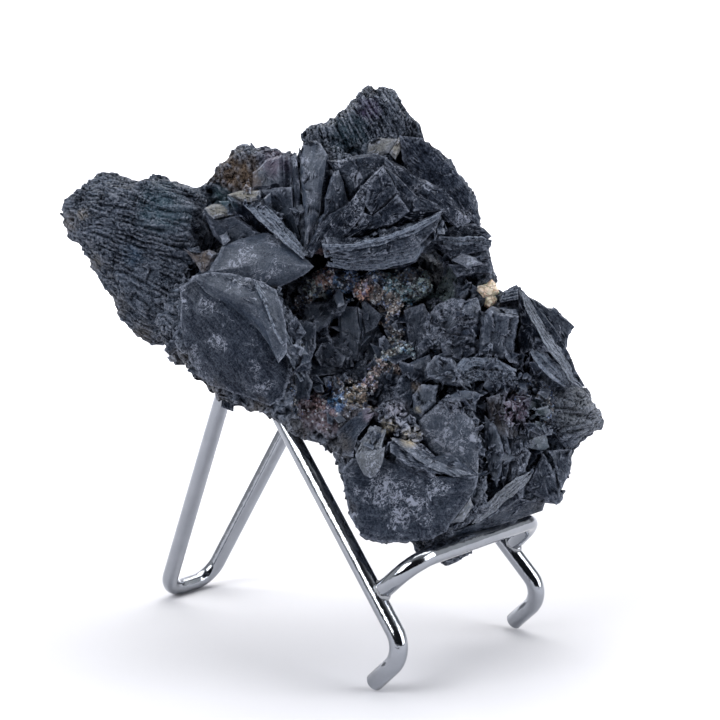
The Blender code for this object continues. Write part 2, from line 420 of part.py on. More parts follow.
def scratch_collection(name, parts):
    """Link slabs, each an object of its own, into a hidden collection."""
    collection = bpy.data.collections.new(name)
    bpy.context.scene.collection.children.link(collection)
    for number, values in enumerate(parts):
        build = bmesh.new()
        add_slab(build, *values)
        made = object_from(f"{name}_{number}", build, collection)
        made.hide_render = True
        made.display_type = "WIRE"
    return collection


def drop_collection(collection):
    """Remove a scratch collection and its objects."""
    for made in list(collection.objects):
        bpy.data.objects.remove(made)
    bpy.data.collections.remove(collection)


def keep_largest_shell(target):
    """Drop loose shells and sealed cavities that the Booleans leave."""
    build = bmesh.new()
    build.from_mesh(target.data)
    bmesh.ops.triangulate(build, faces=build.faces)
    unseen = set(build.verts)
    shells = []
    while unseen:
        edge_of = [unseen.pop()]
        shell = set(edge_of)
        while edge_of:
            vert = edge_of.pop()
            for edge in vert.link_edges:
                other = edge.other_vert(vert)
                if other in unseen:
                    unseen.discard(other)
                    shell.add(other)
                    edge_of.append(other)
        shells.append(shell)
    shells.sort(key=len)
    loose = [vert for shell in shells[:-1] for vert in shell]
    bmesh.ops.delete(build, geom=loose, context="VERTS")
    bmesh.ops.recalc_face_normals(build, faces=build.faces)
    build.to_mesh(target.data)
    build.free()


def join_flat_faces(target):
    """Merge the slivers that Booleans leave in flat faces, then triangulate again."""
    build = bmesh.new()
    build.from_mesh(target.data)
    bmesh.ops.dissolve_limit(build, angle_limit=math.radians(FLAT_ANGLE), verts=build.verts,
                             edges=build.edges, use_dissolve_boundaries=False)
    bmesh.ops.triangulate(build, faces=build.faces)
    build.to_mesh(target.data)
    build.free()


def upright_frame():
    """Origin, slope direction and outward normal of the plane that holds the two uprights."""
    across = Vector((1, 0, 0))
    slope = (Vector((0, TOP_CORNER.y, TOP_CORNER.z)) - Vector((0, FOOT_CORNER.y, FOOT_CORNER.z)))
    slope.normalize()
    return Vector((0, FOOT_CORNER.y, FOOT_CORNER.z)), slope, across.cross(slope)


def slope_box(name, low, high):
    """A box in the uprights' own directions: across, up the slope, out from the plane."""
    origin, slope, normal = upright_frame()
    build = bmesh.new()
    bmesh.ops.create_cube(build, size=1)
    for vert in build.verts:
        place = [low[i] + (high[i] - low[i]) * (vert.co[i] + 0.5) for i in range(3)]
        vert.co = origin + Vector((1, 0, 0)) * place[0] + slope * place[1] + normal * place[2]
    made = object_from(name, build)
    made.hide_render = True
    made.display_type = "WIRE"
    return made


def stand_cutters():
    """What the specimen stays clear of: the uprights' plane, the ledge's bar and the view of it."""
    origin, slope, normal = upright_frame()
    top = (Vector((0, TOP_CORNER.y, TOP_CORNER.z)) - origin).dot(slope)
    bar_up = (LEDGE_CORNER - origin).dot(slope)
    bar_out = (LEDGE_CORNER - origin).dot(normal)
    reach = WIRE_RADIUS + CLEARANCE
    behind = slope_box("behind_uprights", (-27, -20, -45), (27, top + 6, reach))
    bar = slope_box("round_bar", (-24, bar_up - 30, bar_out - reach), (24, bar_up + reach, bar_out + reach))
    below = slope_box("below_bar", (-24, bar_up - 30, bar_out), (8, bar_up + reach, 40))
    return behind, bar, below


def specimen_parts(dice):
    """Every slab of the cluster but the core, which the others are joined to."""
    parts = []
    for name, (outline, near, front, back, inset) in LOBES.items():
        if name != "core":
            parts.append((outline, near, (0, 0), front, back, inset, 0))
    for blade in BLADES.values():
        parts.extend(blade_shells(blade))
    for comb in COMBS.values():
        parts.extend(comb_ridges(comb, dice))
    parts.extend(back_blades(dice))
    return parts


def crust_object(name, swell):
    """The crust's lumps joined in one solid, each lump grown by `swell` mm."""
    dice = random.Random(7)
    collection = bpy.data.collections.new(name + "_lumps")
    bpy.context.scene.collection.children.link(collection)
    lumps = []
    for number, (right, up, near, radius) in enumerate(CRUST_LUMPS):
        build = bmesh.new()
        bmesh.ops.create_icosphere(build, subdivisions=1, radius=radius + swell)
        turn = Matrix.Rotation(dice.uniform(0, math.pi), 4, Vector((1, 0.4, 0.2)).normalized())
        flat = Matrix.Scale(CRUST_FLATNESS, 4, TOWARD)
        build.transform(Matrix.Translation(on_sheet(right, up, near)) @ flat @ turn)
        lumps.append(object_from(f"{name}_lump_{number}", build, collection))
    target = lumps.pop(0)
    collection.objects.unlink(target)
    bpy.context.scene.collection.objects.link(target)
    target.name = name
    boolean(target, collection, "UNION")
    drop_collection(collection)
    keep_largest_shell(target)
    return target


def pale_object(name, swell):
    """The two pale crystals joined in one solid, each grown by `swell` mm."""
    made = []
    for number, outline in enumerate(PALE_OUTLINES):
        middle = centre_of(outline)
        growth = 1 + swell / PALE_RADIUS
        grown = [(middle[0] + (r - middle[0]) * growth, middle[1] + (u - middle[1]) * growth)
                 for r, u in outline]
        build = bmesh.new()
        thick = PALE_THICKNESS + swell
        add_slab(build, grown, PALE_NEAR - 0.6 * number, (0, 0), thick, thick + 1, 0.75, 0.4)
        made.append(object_from(f"{name}_{number}", build))
    boolean(made[0], made[1], "UNION")
    bpy.data.objects.remove(made[1])
    made[0].name = name
    keep_largest_shell(made[0])
    return made[0]


def make_specimen(crust_cutter, pale_cutter):
    """The whole cluster in one solid, clear of its stand and of the pieces seated in it."""
    dice = random.Random(11)
    outline, near, front, back, inset = LOBES["core"]
    build = bmesh.new()
    add_slab(build, outline, near, CORE_LEAN, front, back, inset, -1)
    specimen = object_from("specimen", build)
    parts = scratch_collection("slabs", specimen_parts(dice))
    boolean(specimen, parts, "UNION")
    drop_collection(parts)
    keep_largest_shell(specimen)
    for cutter in (*stand_cutters(), crust_cutter, pale_cutter):
        boolean(specimen, cutter, "DIFFERENCE")
        bpy.data.objects.remove(cutter)
    keep_largest_shell(specimen)
    join_flat_faces(specimen)
    return specimen


def bent_path(points, radii, steps=BEND_STEPS):
    """A polyline whose inner corners are rounded with arcs of the given radii."""
    path = [points[0]]
    for i in range(1, len(points) - 1):
        here = points[i]
        back = (points[i - 1] - here).normalized()
        ahead = (points[i + 1] - here).normalized()
        half = back.angle(ahead) / 2
        reach = radii[i - 1] / math.tan(half)
        bisector = (back + ahead).normalized()
        centre = here + bisector * (radii[i - 1] / math.sin(half))
        first = here + back * reach - centre
        last = here + ahead * reach - centre
        sweep = first.angle(last)
        for step in range(steps + 1):
            share = step / steps
            spoke = (first * math.sin((1 - share) * sweep) + last * math.sin(share * sweep))
            path.append(centre + spoke / math.sin(sweep))
    path.append(points[-1])
    return path


def wire_rings(path, facet):
    """Cross-sections along a path, twisted as little as it allows, one flat facing `facet`."""
    rings = []
    pointer = facet.copy()
    for i, here in enumerate(path):
        before = path[max(i - 1, 0)]
        after = path[min(i + 1, len(path) - 1)]
        tangent = ((here - before).normalized() + (after - here).normalized()).normalized()
        pointer = (pointer - tangent * pointer.dot(tangent)).normalized()
        across = tangent.cross(pointer)
        section = []
        for side in range(WIRE_SIDES):
            angle = math.tau * (side + 0.5) / WIRE_SIDES
            section.append(here + (pointer * math.cos(angle) + across * math.sin(angle)) * WIRE_RADIUS)
        rings.append(section)
    return rings


def wire_object(name, half_path, facet):
    """A wire that is the same on both sides of X = 0, from its middle out to both ends."""
    rings = wire_rings(half_path, facet)
    mirrored = [[Vector((-p.x, p.y, p.z)) for p in section] for section in reversed(rings[1:])]
    build = bmesh.new()
    loops = [[build.verts.new(p) for p in section] for section in mirrored + rings]
    for first, second in zip(loops, loops[1:]):
        skin(build, first, second)
    build.faces.new(list(reversed(loops[0])))
    build.faces.new(loops[-1])
    made = object_from(name, build)
    made.data.shade_smooth()
    made.data.set_sharp_from_angle(angle=math.radians(40))
    return made


def make_stand_frame():
    """Foot, upright, top bend, rear arm and floor bend, in one wire; the bend and the feet meet the floor."""
    down = Vector((0, 0, -1))
    floor = WIRE_RADIUS * math.cos(math.pi / WIRE_SIDES)
    foot_end = Vector((FOOT_CORNER.x, FOOT_END_Y, floor))
    radii = [BEND_RADIUS["rear"], BEND_RADIUS["top"], BEND_RADIUS["foot"]]
    for _ in range(SETTLING_STEPS):
        path = bent_path([Vector((0, REAR_BEND_Y, floor)), Vector((REAR_BEND_X, REAR_BEND_Y, floor)),
                          TOP_CORNER, FOOT_CORNER, foot_end], radii)
        foot_end.z -= min(place.z for place in wire_rings(path, down)[-1])
    return wire_object("stand_frame", path, down)


def make_stand_ledge():
    """The U that carries the specimen; its ends stop a hair short of the uprights."""
    joint = TOP_CORNER.lerp(FOOT_CORNER, LEDGE_JOINT)
    toward_joint = (joint - LEDGE_CORNER).normalized()
    end = joint - toward_joint * (WIRE_RADIUS + CLEARANCE)
    points = [Vector((0, LEDGE_CORNER.y, LEDGE_CORNER.z)), LEDGE_CORNER, end]
    return wire_object("stand_ledge", bent_path(points, [BEND_RADIUS["ledge"]]), Vector((0, 0, 1)))


def centre_on_floor(parts):
    """Put the origin under the middle of the whole, on the floor."""
    places = [vert.co for part in parts for vert in part.data.vertices]
    low = Vector(min(p[i] for p in places) for i in range(3))
    high = Vector(max(p[i] for p in places) for i in range(3))
    shift = Vector((-(low.x + high.x) / 2, -(low.y + high.y) / 2, -low.z))
    for part in parts:
        part.data.transform(Matrix.Translation(shift))


def main():
    """Build every piece and set it on the floor."""
    for old in list(bpy.data.objects):
        bpy.data.objects.remove(old)
    dark = material("berthierite", (0.045, 0.05, 0.062), 0.35, 0.5)
    tarnish = material("tarnished druse", (0.06, 0.07, 0.12), 0.6, 0.35)
    cream = material("cream calcite", (0.62, 0.55, 0.42), 0, 0.5)
    chrome = material("chromed wire", (0.6, 0.6, 0.62), 1, 0.12)
    crust = crust_object("druse_crust", 0)
    pale = pale_object("pale_crystal", 0)
    specimen = make_specimen(crust_object("crust_pocket", 0.45), pale_object("pale_pocket", 0.35))
    frame = make_stand_frame()
    ledge = make_stand_ledge()
    for part, finish in ((specimen, dark), (crust, tarnish), (pale, cream), (frame, chrome),
                         (ledge, chrome)):
        part.data.materials.clear()
        part.data.materials.append(finish)
    centre_on_floor([specimen, crust, pale, frame, ledge])


main()
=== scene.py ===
"""Looks of a berthierite specimen that rests on a small chromed wire easel.

The cluster is laid out on a sheet: a plane square to a line of sight that comes in low from the easel's
front left. A sheet place is (right, up, near) in millimetres, where near is the way towards the eye.
Perspective is kept, so an outline on the sheet is the outline seen from the eye at any depth.
"""
import functools
import json
import math

import bmesh
import bpy
import numpy as np
from bpy.props import FloatProperty, FloatVectorProperty, IntProperty, PointerProperty
from mathutils import Matrix, Vector
from mathutils.bvhtree import BVHTree

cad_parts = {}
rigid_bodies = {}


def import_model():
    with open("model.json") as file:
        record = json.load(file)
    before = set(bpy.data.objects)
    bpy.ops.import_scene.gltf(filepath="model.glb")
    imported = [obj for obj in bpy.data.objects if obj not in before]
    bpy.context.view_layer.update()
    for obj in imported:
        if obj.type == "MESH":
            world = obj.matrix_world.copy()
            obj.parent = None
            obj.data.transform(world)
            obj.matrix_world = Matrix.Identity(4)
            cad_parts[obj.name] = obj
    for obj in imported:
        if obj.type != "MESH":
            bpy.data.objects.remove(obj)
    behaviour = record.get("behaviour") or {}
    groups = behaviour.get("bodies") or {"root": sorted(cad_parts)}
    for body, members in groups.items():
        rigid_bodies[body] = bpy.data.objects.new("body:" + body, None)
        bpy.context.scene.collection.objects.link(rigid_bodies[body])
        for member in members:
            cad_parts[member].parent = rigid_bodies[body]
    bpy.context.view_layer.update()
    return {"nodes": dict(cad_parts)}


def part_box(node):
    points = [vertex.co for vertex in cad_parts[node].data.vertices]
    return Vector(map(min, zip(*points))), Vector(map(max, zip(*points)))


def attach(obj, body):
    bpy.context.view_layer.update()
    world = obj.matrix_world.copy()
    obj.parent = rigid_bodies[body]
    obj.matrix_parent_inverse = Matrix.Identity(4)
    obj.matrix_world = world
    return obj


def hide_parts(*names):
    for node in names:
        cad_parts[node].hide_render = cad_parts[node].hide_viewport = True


bl_info = {
    "name": "Berthierite on a wire easel",
    "version": (1, 0, 0),
    "blender": (4, 5, 0),
    "location": "View3D > Sidebar > Berthierite",
    "description": "Builds the crystal cluster, its druse and its chromed easel around the packed model",
    "category": "Object"}

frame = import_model()

MM = 0.001

# The line of sight of the sheet, and the easel's wire, in millimetres and degrees.
SHEET_AZIMUTH = 51.15
SHEET_ELEVATION = 8.26
EYE_DISTANCE = 283.6
SENSOR_WIDTH, FOCAL_LENGTH = 36.0, 77.985
SHEET_CENTRE = np.array((-3.25, 24.63, 53.29))
WIRE_RADIUS = 1.6
TOP_CORNER = Vector((14.6, 43.8, 56.7))
FOOT_CORNER = Vector((21.5, 0.0, 8.1))
FOOT_END_Y = 7.1
REAR_BEND = Vector((6.3, 73.0, 1.6))
LEDGE_JOINT = 0.832
LEDGE_CORNER = Vector((18.8, 0.2, 23.3))
BEND_RADII = {"foot": 4.5, "top": 5.0, "rear": 5.0, "ledge": 5.5}


def sheet_axes():
    """The sheet's right, up and toward-the-eye directions."""
    azimuth = math.radians(SHEET_AZIMUTH)
    elevation = math.radians(SHEET_ELEVATION)
    toward = np.array((-math.sin(azimuth) * math.cos(elevation),
                       -math.cos(azimuth) * math.cos(elevation), math.sin(elevation)))
    right = np.array((math.cos(azimuth), -math.sin(azimuth), 0.0))
    return right, np.cross(toward, right), toward


def easel_shift():
    """Where the easel's own origin, on the floor between its feet, lies in the model."""
    low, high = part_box("stand_frame")
    return np.array(((low[0] + high[0]) / 2, high[1] - (REAR_BEND.y + WIRE_RADIUS) * MM, 0.0))


RIGHT, UP, TOWARD = sheet_axes()
EYE = SHEET_CENTRE + TOWARD * EYE_DISTANCE
SHIFT = easel_shift()


def to_space(sheet):
    """Sheet places (n, 3) in mm as model places in metres."""
    sheet = np.asarray(sheet, dtype=float)
    flat = SHEET_CENTRE + sheet[:, :1] * RIGHT + sheet[:, 1:2] * UP
    place = EYE + (flat - EYE) * ((EYE_DISTANCE - sheet[:, 2:3]) / EYE_DISTANCE)
    return place * MM + SHIFT


def to_sheet(places):
    """Model places (n, 3) in metres as sheet places in mm."""
    ray = (places - SHIFT) / MM - EYE
    depth = -(ray @ TOWARD)
    flat = EYE + ray * (EYE_DISTANCE / depth)[:, None] - SHEET_CENTRE
    return np.column_stack((flat @ RIGHT, flat @ UP, EYE_DISTANCE - depth))


# ---------------------------------------------------------------- noise

def scatter(cells, seed):
    """A fixed pseudo-random vector, each part -1 to 1, for each whole-number cell."""
    whole = cells.astype(np.int64).astype(np.uint64)
    code = whole[:, 0] * np.uint64(73856093) ^ whole[:, 1] * np.uint64(19349663)
    code ^= whole[:, 2] * np.uint64(83492791) ^ np.uint64(seed * 2654435761 + 97)
    code ^= code >> np.uint64(15)
    code *= np.uint64(0x9E3779B97F4A7C15)
    code ^= code >> np.uint64(29)
    parts = [(code >> np.uint64(shift)) & np.uint64(0xFFFF) for shift in (0, 16, 32)]
    return np.column_stack(parts).astype(float) / 32767.5 - 1


def smooth_noise(places, seed=0):
    """Gradient noise at places (n, 3) in cells, about -0.8 to 0.8."""
    cell = np.floor(places)
    part = places - cell
    fade = part ** 3 * (part * (part * 6 - 15) + 10)
    total = np.zeros(len(places))
    for corner in np.ndindex(2, 2, 2):
        offset = np.array(corner)
        weight = np.prod(np.where(offset, fade, 1 - fade), axis=1)
        total += weight * np.sum(scatter(cell + offset, seed) * (part - offset), axis=1)
    return total


def layered_noise(places, seed=0, layers=3):
    """Smooth noise with finer and weaker layers on top."""
    return sum(smooth_noise(places * 2 ** i, seed + i) / 2 ** i for i in range(layers))


def crystal_facets(places, seed=0):
    """Height of a surface broken in flat facets, one tilted facet for each scattered seed."""
    base = np.floor(places)
    nearest = np.full(len(places), np.inf)
    height = np.zeros(len(places))
    for step in np.ndindex(3, 3, 3):
        cell = base + (np.array(step) - 1)
        gap = places - (cell + 0.5 + 0.45 * scatter(cell, seed))
        far = np.sum(gap ** 2, axis=1)
        slope = np.sum(scatter(cell, seed + 1) * gap, axis=1)
        closer = far < nearest
        nearest[closer] = far[closer]
        height[closer] = slope[closer]
    return height


def flat_noise(line, cell, seed):
    """Smooth noise along sheet points (n, 2), one cell being `cell` mm."""
    return smooth_noise(np.column_stack((line / cell, np.full(len(line), 0.37))), seed)


# ---------------------------------------------------------------- meshes

def link(name, mesh):
    """An object for a mesh, in the scene."""
    made = bpy.data.objects.new(name, mesh)
    bpy.context.scene.collection.objects.link(made)
    return made


def write_attributes(mesh, **fields):
    """Store one value, vector or colour for each vertex under each name."""
    for name, values in fields.items():
        kind, field = {1: ("FLOAT", "value"), 3: ("FLOAT_VECTOR", "vector"),
                       4: ("FLOAT_COLOR", "color")}[1 if values.ndim == 1 else values.shape[1]]
        attribute = mesh.attributes.new(name, kind, "POINT")
        attribute.data.foreach_set(field, np.ascontiguousarray(values, dtype=np.float32).ravel())


def outward_mesh(name, places=(), faces=(), build=None):
    """A mesh of places and faces, or of a build, whose faces are turned outwards."""
    mesh = bpy.data.meshes.new(name)
    if build is None:
        mesh.from_pydata(places, [], faces)
        build = bmesh.new()
        build.from_mesh(mesh)
    bmesh.ops.recalc_face_normals(build, faces=build.faces)
    build.to_mesh(mesh)
    build.free()
    return mesh


def tube_faces(order, count):
    """Quads between neighbouring rings of `count` places each, and a cap at both ends."""
    quads = [(a * count + i, a * count + (i + 1) % count, b * count + (i + 1) % count, b * count + i)
             for a, b in zip(order, order[1:]) for i in range(count)]
    return quads + [tuple(order[0] * count + i for i in range(count)),
                    tuple(order[-1] * count + i for i in reversed(range(count)))]


def soften(mesh, sharp_angle):
    """Shade smooth, but sharp where faces meet at more than an angle in degrees."""
    mesh.shade_smooth()
    mesh.set_sharp_from_angle(angle=math.radians(sharp_angle))


def push(mesh, places, ways, distance):
    """Move the vertices from their places along some ways by a distance in mm."""
    mesh.vertices.foreach_set("co", (places + ways * (distance * MM)[:, None]).ravel())


def remeshed(name, mesh, pitch):
    """A mesh as a new object of even fine cells, and its vertex places and normals."""
    made = link(name, mesh)
    remesh = made.modifiers.new("fine mesh", "REMESH")
    remesh.mode, remesh.voxel_size = "VOXEL", pitch
    flatten(made)
    return made, mesh_places(made.data), mesh_places(made.data, "normal")


def flatten(made):
    """Replace an object's mesh by what its modifiers make of it, and drop the modifiers."""
    graph = bpy.context.evaluated_depsgraph_get()
    mesh = bpy.data.meshes.new_from_object(made.evaluated_get(graph))
    made.modifiers.clear()
    made.data = mesh
    mesh.name = made.name


def mesh_places(mesh, field="co"):
    """Vertex places or normals of a mesh (n, 3)."""
    values = np.empty(len(mesh.vertices) * 3)
    (mesh.vertices if field == "co" else mesh.vertex_normals).foreach_get(
        "co" if field == "co" else "vector", values)
    return values.reshape(-1, 3)


def mark_bends(mesh):
    """Store per vertex how it bulges (edge wear and painted highlight) and dips (painted shade)."""
    places, normals = mesh_places(mesh), mesh_places(mesh, "normal")
    ends = np.empty(len(mesh.edges) * 2, dtype=np.int32)
    mesh.edges.foreach_get("vertices", ends)
    first, last = ends[::2], ends[1::2]
    gap = places[last] - places[first]
    gap /= np.maximum(np.linalg.norm(gap, axis=1), 1e-9)[:, None]
    total, count = np.zeros_like(places), np.zeros(len(places))
    np.add.at(total, first, gap)
    np.add.at(total, last, -gap)
    np.add.at(count, first, 1)
    np.add.at(count, last, 1)
    bend = -np.sum(total * normals, axis=1) / np.maximum(count, 1)
    write_attributes(mesh, wear=np.clip(3.2 * bend - 0.25, 0, 1), cavity=np.clip(-3.2 * bend - 0.1, 0, 1))


class Slabs:
    """Collects closed crystal slabs in sheet places, with what their finish needs to know."""

    def __init__(self):
        self.places, self.faces, self.marks = [], [], []
        self.count = 0

    def add(self, places, faces, grain, dust, shade, tint):
        """Add one slab: places and grain (n, 3), faces as index tuples, tint (hex colour, strength)."""
        self.faces.extend(tuple(i + self.count for i in face) for face in faces)
        self.places.append(places)
        count = len(places)
        tints = tint_at(places) if tint is None else np.tile((*linear(tint[0]), tint[1]), (count, 1))
        self.marks.append(np.column_stack((dust + dust_at(places), np.full(count, shade), grain, tints)))
        self.count += count

    def to_object(self, name, sharp_angle):
        """One mesh object of all slabs, faces outwards, sharp where facets meet."""
        mesh = outward_mesh(name, to_space(np.concatenate(self.places)).tolist(), self.faces)
        marks = np.concatenate(self.marks)
        write_attributes(mesh, dusting=marks[:, 0], shade=marks[:, 1], grain=marks[:, 2:5],
                         tint=marks[:, 5:])
        mark_bends(mesh)
        soften(mesh, sharp_angle)
        return link(name, mesh)


# In mm: the pitch along a rim and from ring to ring, the size of the rim's chips, and how far apart the
# grain of two slabs is sampled. The most rings of a face.
OUTLINE_PITCH, FACE_PITCH, CHIP_SIZE, GRAIN_GAP = 0.5, 0.45, 2.6, 7.3
FACE_RINGS = 18


def ragged_outline(outline, ragged, seed):
    """The outline resampled finely, with a ragged, chipped edge."""
    corners = np.array(outline, dtype=float)
    runs = []
    for first, last in zip(corners, np.roll(corners, -1, axis=0)):
        count = max(1, round(np.linalg.norm(last - first) / OUTLINE_PITCH))
        runs.append(first + (last - first) * np.arange(count)[:, None] / count)
    line = np.concatenate(runs)
    outward = line - corners.mean(axis=0)
    outward /= np.linalg.norm(outward, axis=1)[:, None]
    jitter = flat_noise(line, 1.3, seed) + 0.7 * flat_noise(line, 0.6, seed + 1)
    chips = np.maximum(flat_noise(line, CHIP_SIZE, seed + 2) - 0.2, 0) * 3
    return line + outward * (ragged * (jitter - chips))[:, None]


def slab_profile(front, inset, crown, swell, rings_wanted):
    """Rings from rim to middle as (scale, rise): a bevel, then a face that swells by crown."""
    rings = []
    for share in np.linspace(0, 1, rings_wanted):
        scale = 1 - 0.985 * share
        if scale > inset:
            rise = front * (1 - scale) / (1 - inset)
        else:
            rise = front + crown * (1 - (scale / inset) ** swell)
        rings.append((scale, rise))
    return rings


def add_blade(slabs, outline, near=0.0, lean=(0, 0), front=0.6, back=3.0, inset=0.88, crown=0.0,
              swell=1.3, ragged=0.16, dust=0.25, shade=0.0, tint=None, relief=0.09, broken=0.4,
              grain=None, seed=1):
    """One crystal blade: ragged rim, bevel, broken and swelling face, and a plain back."""
    dice = np.random.default_rng(seed)
    line = ragged_outline(outline, ragged, seed)
    middle = np.array(outline, dtype=float).mean(axis=0)
    spokes = line - middle
    count = len(line)
    drift = dice.uniform(-0.3, 0.3, 2) * np.abs(spokes).mean(axis=0)
    places = []
    rings_wanted = int(np.clip(np.linalg.norm(spokes, axis=1).mean() / FACE_PITCH, 4, FACE_RINGS))
    profile = slab_profile(front, inset, crown, swell, rings_wanted)
    for number, (scale, rise) in enumerate(profile):
        wander = 1 + 0.03 * flat_noise(line, 4.0, seed + 10 + number // 2) * (0 < number)
        flat = spokes * (scale * wander)[:, None] + drift * (1 - scale)
        seat = np.column_stack((middle + flat, np.full(count, seed)))
        fine = relief * (layered_noise(seat / 0.9, 5) + 1.6 * smooth_noise(seat / 3.2, 6))
        fine += broken * crystal_facets(seat / 2.4, 7)
        height = near + flat @ np.array(lean) + rise + fine * (scale < 1)
        places.append(np.column_stack((middle + flat, height)))
    rings = len(places)
    for scale, drop in ((0.94, 0.3), (inset, 1.0), (inset * 0.5, 1.02)):
        flat = spokes * scale
        places.append(np.column_stack((middle + flat, near + flat @ np.array(lean) - back * drop)))
    faces = tube_faces([*range(rings - 1, -1, -1), *range(rings, rings + 3)], count)
    places = np.concatenate(places)
    along = np.array(grain if grain is not None else main_axis(spokes), dtype=float)
    along /= np.linalg.norm(along)
    across = np.array((-along[1], along[0]))
    local = places[:, :2] - middle
    grains = np.column_stack((local @ along, local @ across, np.full(len(places), seed * GRAIN_GAP)))
    slabs.add(places, faces, grains, dust, shade + dice.uniform(-0.3, 0.3), tint)


LAYER_PITCH = 0.35
# Across one plate seen on edge: how far over it, and how high in mm.
LAYER_SECTION = ((0.0, -2.4), (0.0, -0.35), (0.12, -0.05), (0.5, 0.0), (0.88, -0.1), (1.0, -0.4),
                 (1.0, -2.4))


def resample(line, count):
    """Evenly spaced places along a line of (right, up, near) places."""
    line = np.array(line, dtype=float)
    run = np.concatenate(([0], np.cumsum(np.linalg.norm(np.diff(line[:, :2], axis=0), axis=1))))
    at = np.linspace(0, run[-1], count)
    return np.column_stack([np.interp(at, run, line[:, i]) for i in range(3)])


def add_layers(slabs, inner, outer, layers=5, dust=0.4, shade=0.0, tint=None, ragged=0.26, seed=1):
    """Thin parallel plates seen on edge, stepping down from the inner line to the outer one."""
    dice = np.random.default_rng(seed)
    length = np.linalg.norm(np.diff(np.array(inner, dtype=float), axis=0), axis=1).sum()
    count = max(6, int(length / LAYER_PITCH))
    inner, outer = resample(inner, count), resample(outer, count)
    sides = len(LAYER_SECTION)
    for layer in range(layers):
        first = inner + (outer - inner) * (layer / layers)
        last = inner + (outer - inner) * min(1.0, (layer + 1.3) / layers)
        run = np.arange(count) * LAYER_PITCH
        spots = np.column_stack((run, np.full(count, 3.1 * layer), np.full(count, seed * 0.37)))
        wave = ragged * layered_noise(spots / 1.6, 14)
        lift = ragged * (layered_noise(spots / 1.1, 15) + 1.6 * smooth_noise(spots / 4, 16))
        width = last[:, :2] - first[:, :2]
        across = width / np.maximum(np.linalg.norm(width, axis=1), 1e-6)[:, None]
        places = np.stack([np.column_stack((first[:, :2] + width * share + across * wave[:, None],
                                            first[:, 2] + lift + height))
                           for share, height in LAYER_SECTION], axis=1)
        cut = 0.1 * count * dice.uniform(0, 1, 2) * (0 < layer)
        places = places[int(cut[0]):count - int(cut[1])]
        stations = len(places)
        places = places.reshape(-1, 3)
        grains = np.column_stack((np.repeat(np.arange(stations) * LAYER_PITCH, sides),
                                  np.tile([share for share, _ in LAYER_SECTION], stations) + 2.7 * layer,
                                  np.full(len(places), seed * GRAIN_GAP)))
        slabs.add(places, tube_faces(range(stations), sides), grains, dust,
                  shade + dice.uniform(-0.4, 0.4), tint)


def main_axis(spokes):
    """Direction in which an outline is longest."""
    values, vectors = np.linalg.eigh(spokes.T @ spokes)
    return vectors[:, np.argmax(values)]


def linear(hex_colour):
    """An sRGB hex colour as linear red, green and blue."""
    parts = [int(hex_colour[i:i + 2], 16) / 255 for i in (1, 3, 5)]
    return tuple(p / 12.92 if p <= 0.04045 else ((p + 0.055) / 1.055) ** 2.4 for p in parts)


# Local colours of the stone, (right, up, radius, colour, strength): teal, blue and a pale patch on the
# left lobe, its brown rim down to the saddle, the brown lump with teal under it, purple and teal on the
# top lobe, the blue back plate, the films of the wall's druse, the spur's cream and lilac grains and an
# ochre line, the grey right lobe and the brown underside.
STAINS = [
    (-36, 27.5, 6, "#274a58", 0.55), (-41, 19, 2.4, "#36506a", 0.6), (-50.5, 26.5, 1.3, "#8d867e", 0.8),
    (-53, 25, 2.6, "#5f564d", 0.6), (-48.5, 17.5, 2.4, "#575047", 0.5), (-45, 10, 3, "#524b42", 0.6),
    (-40, 4, 3.6, "#524b42", 0.6), (-33, 0, 3, "#4d463e", 0.7), (-27.5, -6.5, 3.4, "#4d463e", 0.7),
    (-19, -10.5, 4, "#4f4840", 0.7), (-11, -12.5, 3.6, "#4f4840", 0.6), (-4, -15.5, 4, "#4a443d", 0.5),
    (-22.5, 33.5, 5.5, "#715c46", 0.75), (-15.5, 36.5, 3.6, "#55475a", 0.6),
    (-25, 29.6, 3.4, "#25474e", 0.7), (1.6, 45.6, 2.4, "#554a6a", 0.8), (-2, 41, 4.4, "#21404c", 0.6),
    (15, 33, 5, "#394150", 0.5), (28, -9, 4, "#66505f", 0.7), (32.5, -9.5, 3, "#3d4c4a", 0.6),
    (24, -9.5, 1.6, "#77614a", 0.6), (5.4, -12, 2.3, "#c2b596", 1.0), (9.2, -13.9, 2.2, "#beb39c", 1.0),
    (6.8, -9.3, 2.4, "#a9a8b6", 1.0), (1.9, -9.9, 1.8, "#8a8090", 0.8), (10.6, -9, 0.9, "#a39c86", 0.9),
    (10.3, -5, 1.2, "#6f6150", 0.7), (40.5, -8.8, 6, "#7b8088", 0.75), (-3, -27, 3, "#4a4440", 0.4)]

# Where pale dust and bloom settle: (right, up, radius, amount).
BLOOMS = [
    (-27, 9.5, 2.6, 0.7), (-26, 3.5, 2.4, 0.7), (-30.5, 2, 1.6, 0.5), (-19, -1.5, 3.2, 0.7),
    (-17, -4.8, 2, 0.9), (-20.5, 17, 4.5, 0.5), (-14.5, 17.5, 2.6, 0.6), (-15.5, 22.2, 2.4, 0.9),
    (4, 34.5, 2.4, 0.9), (-1, 33, 2, 0.6), (-4, 37, 3, 0.7), (19, 26, 2, 0.7), (0, 24, 5, 0.35),
    (14, 9.5, 3.4, 0.7), (13, 3, 2.6, 0.5), (16, -9, 2.8, 0.8), (21, -13, 3.2, 0.7),
    (29.5, -18, 2, 0.7), (36, -19.5, 2, 0.6), (7, -11, 3.6, 0.8), (12, -15.5, 2.8, 0.7),
    (2, -23, 5, 0.8), (8, -26, 6, 0.8), (13, -22, 4, 0.6), (20, 17.8, 2.4, 0.8), (34, 4, 4, 0.4),
]


def unevenness(sheet):
    """How much wider or narrower a spot is at each sheet place."""
    return 1 + 0.5 * flat_noise(sheet[:, :2], 1.6, 41) + 0.3 * flat_noise(sheet[:, :2], 0.7, 42)


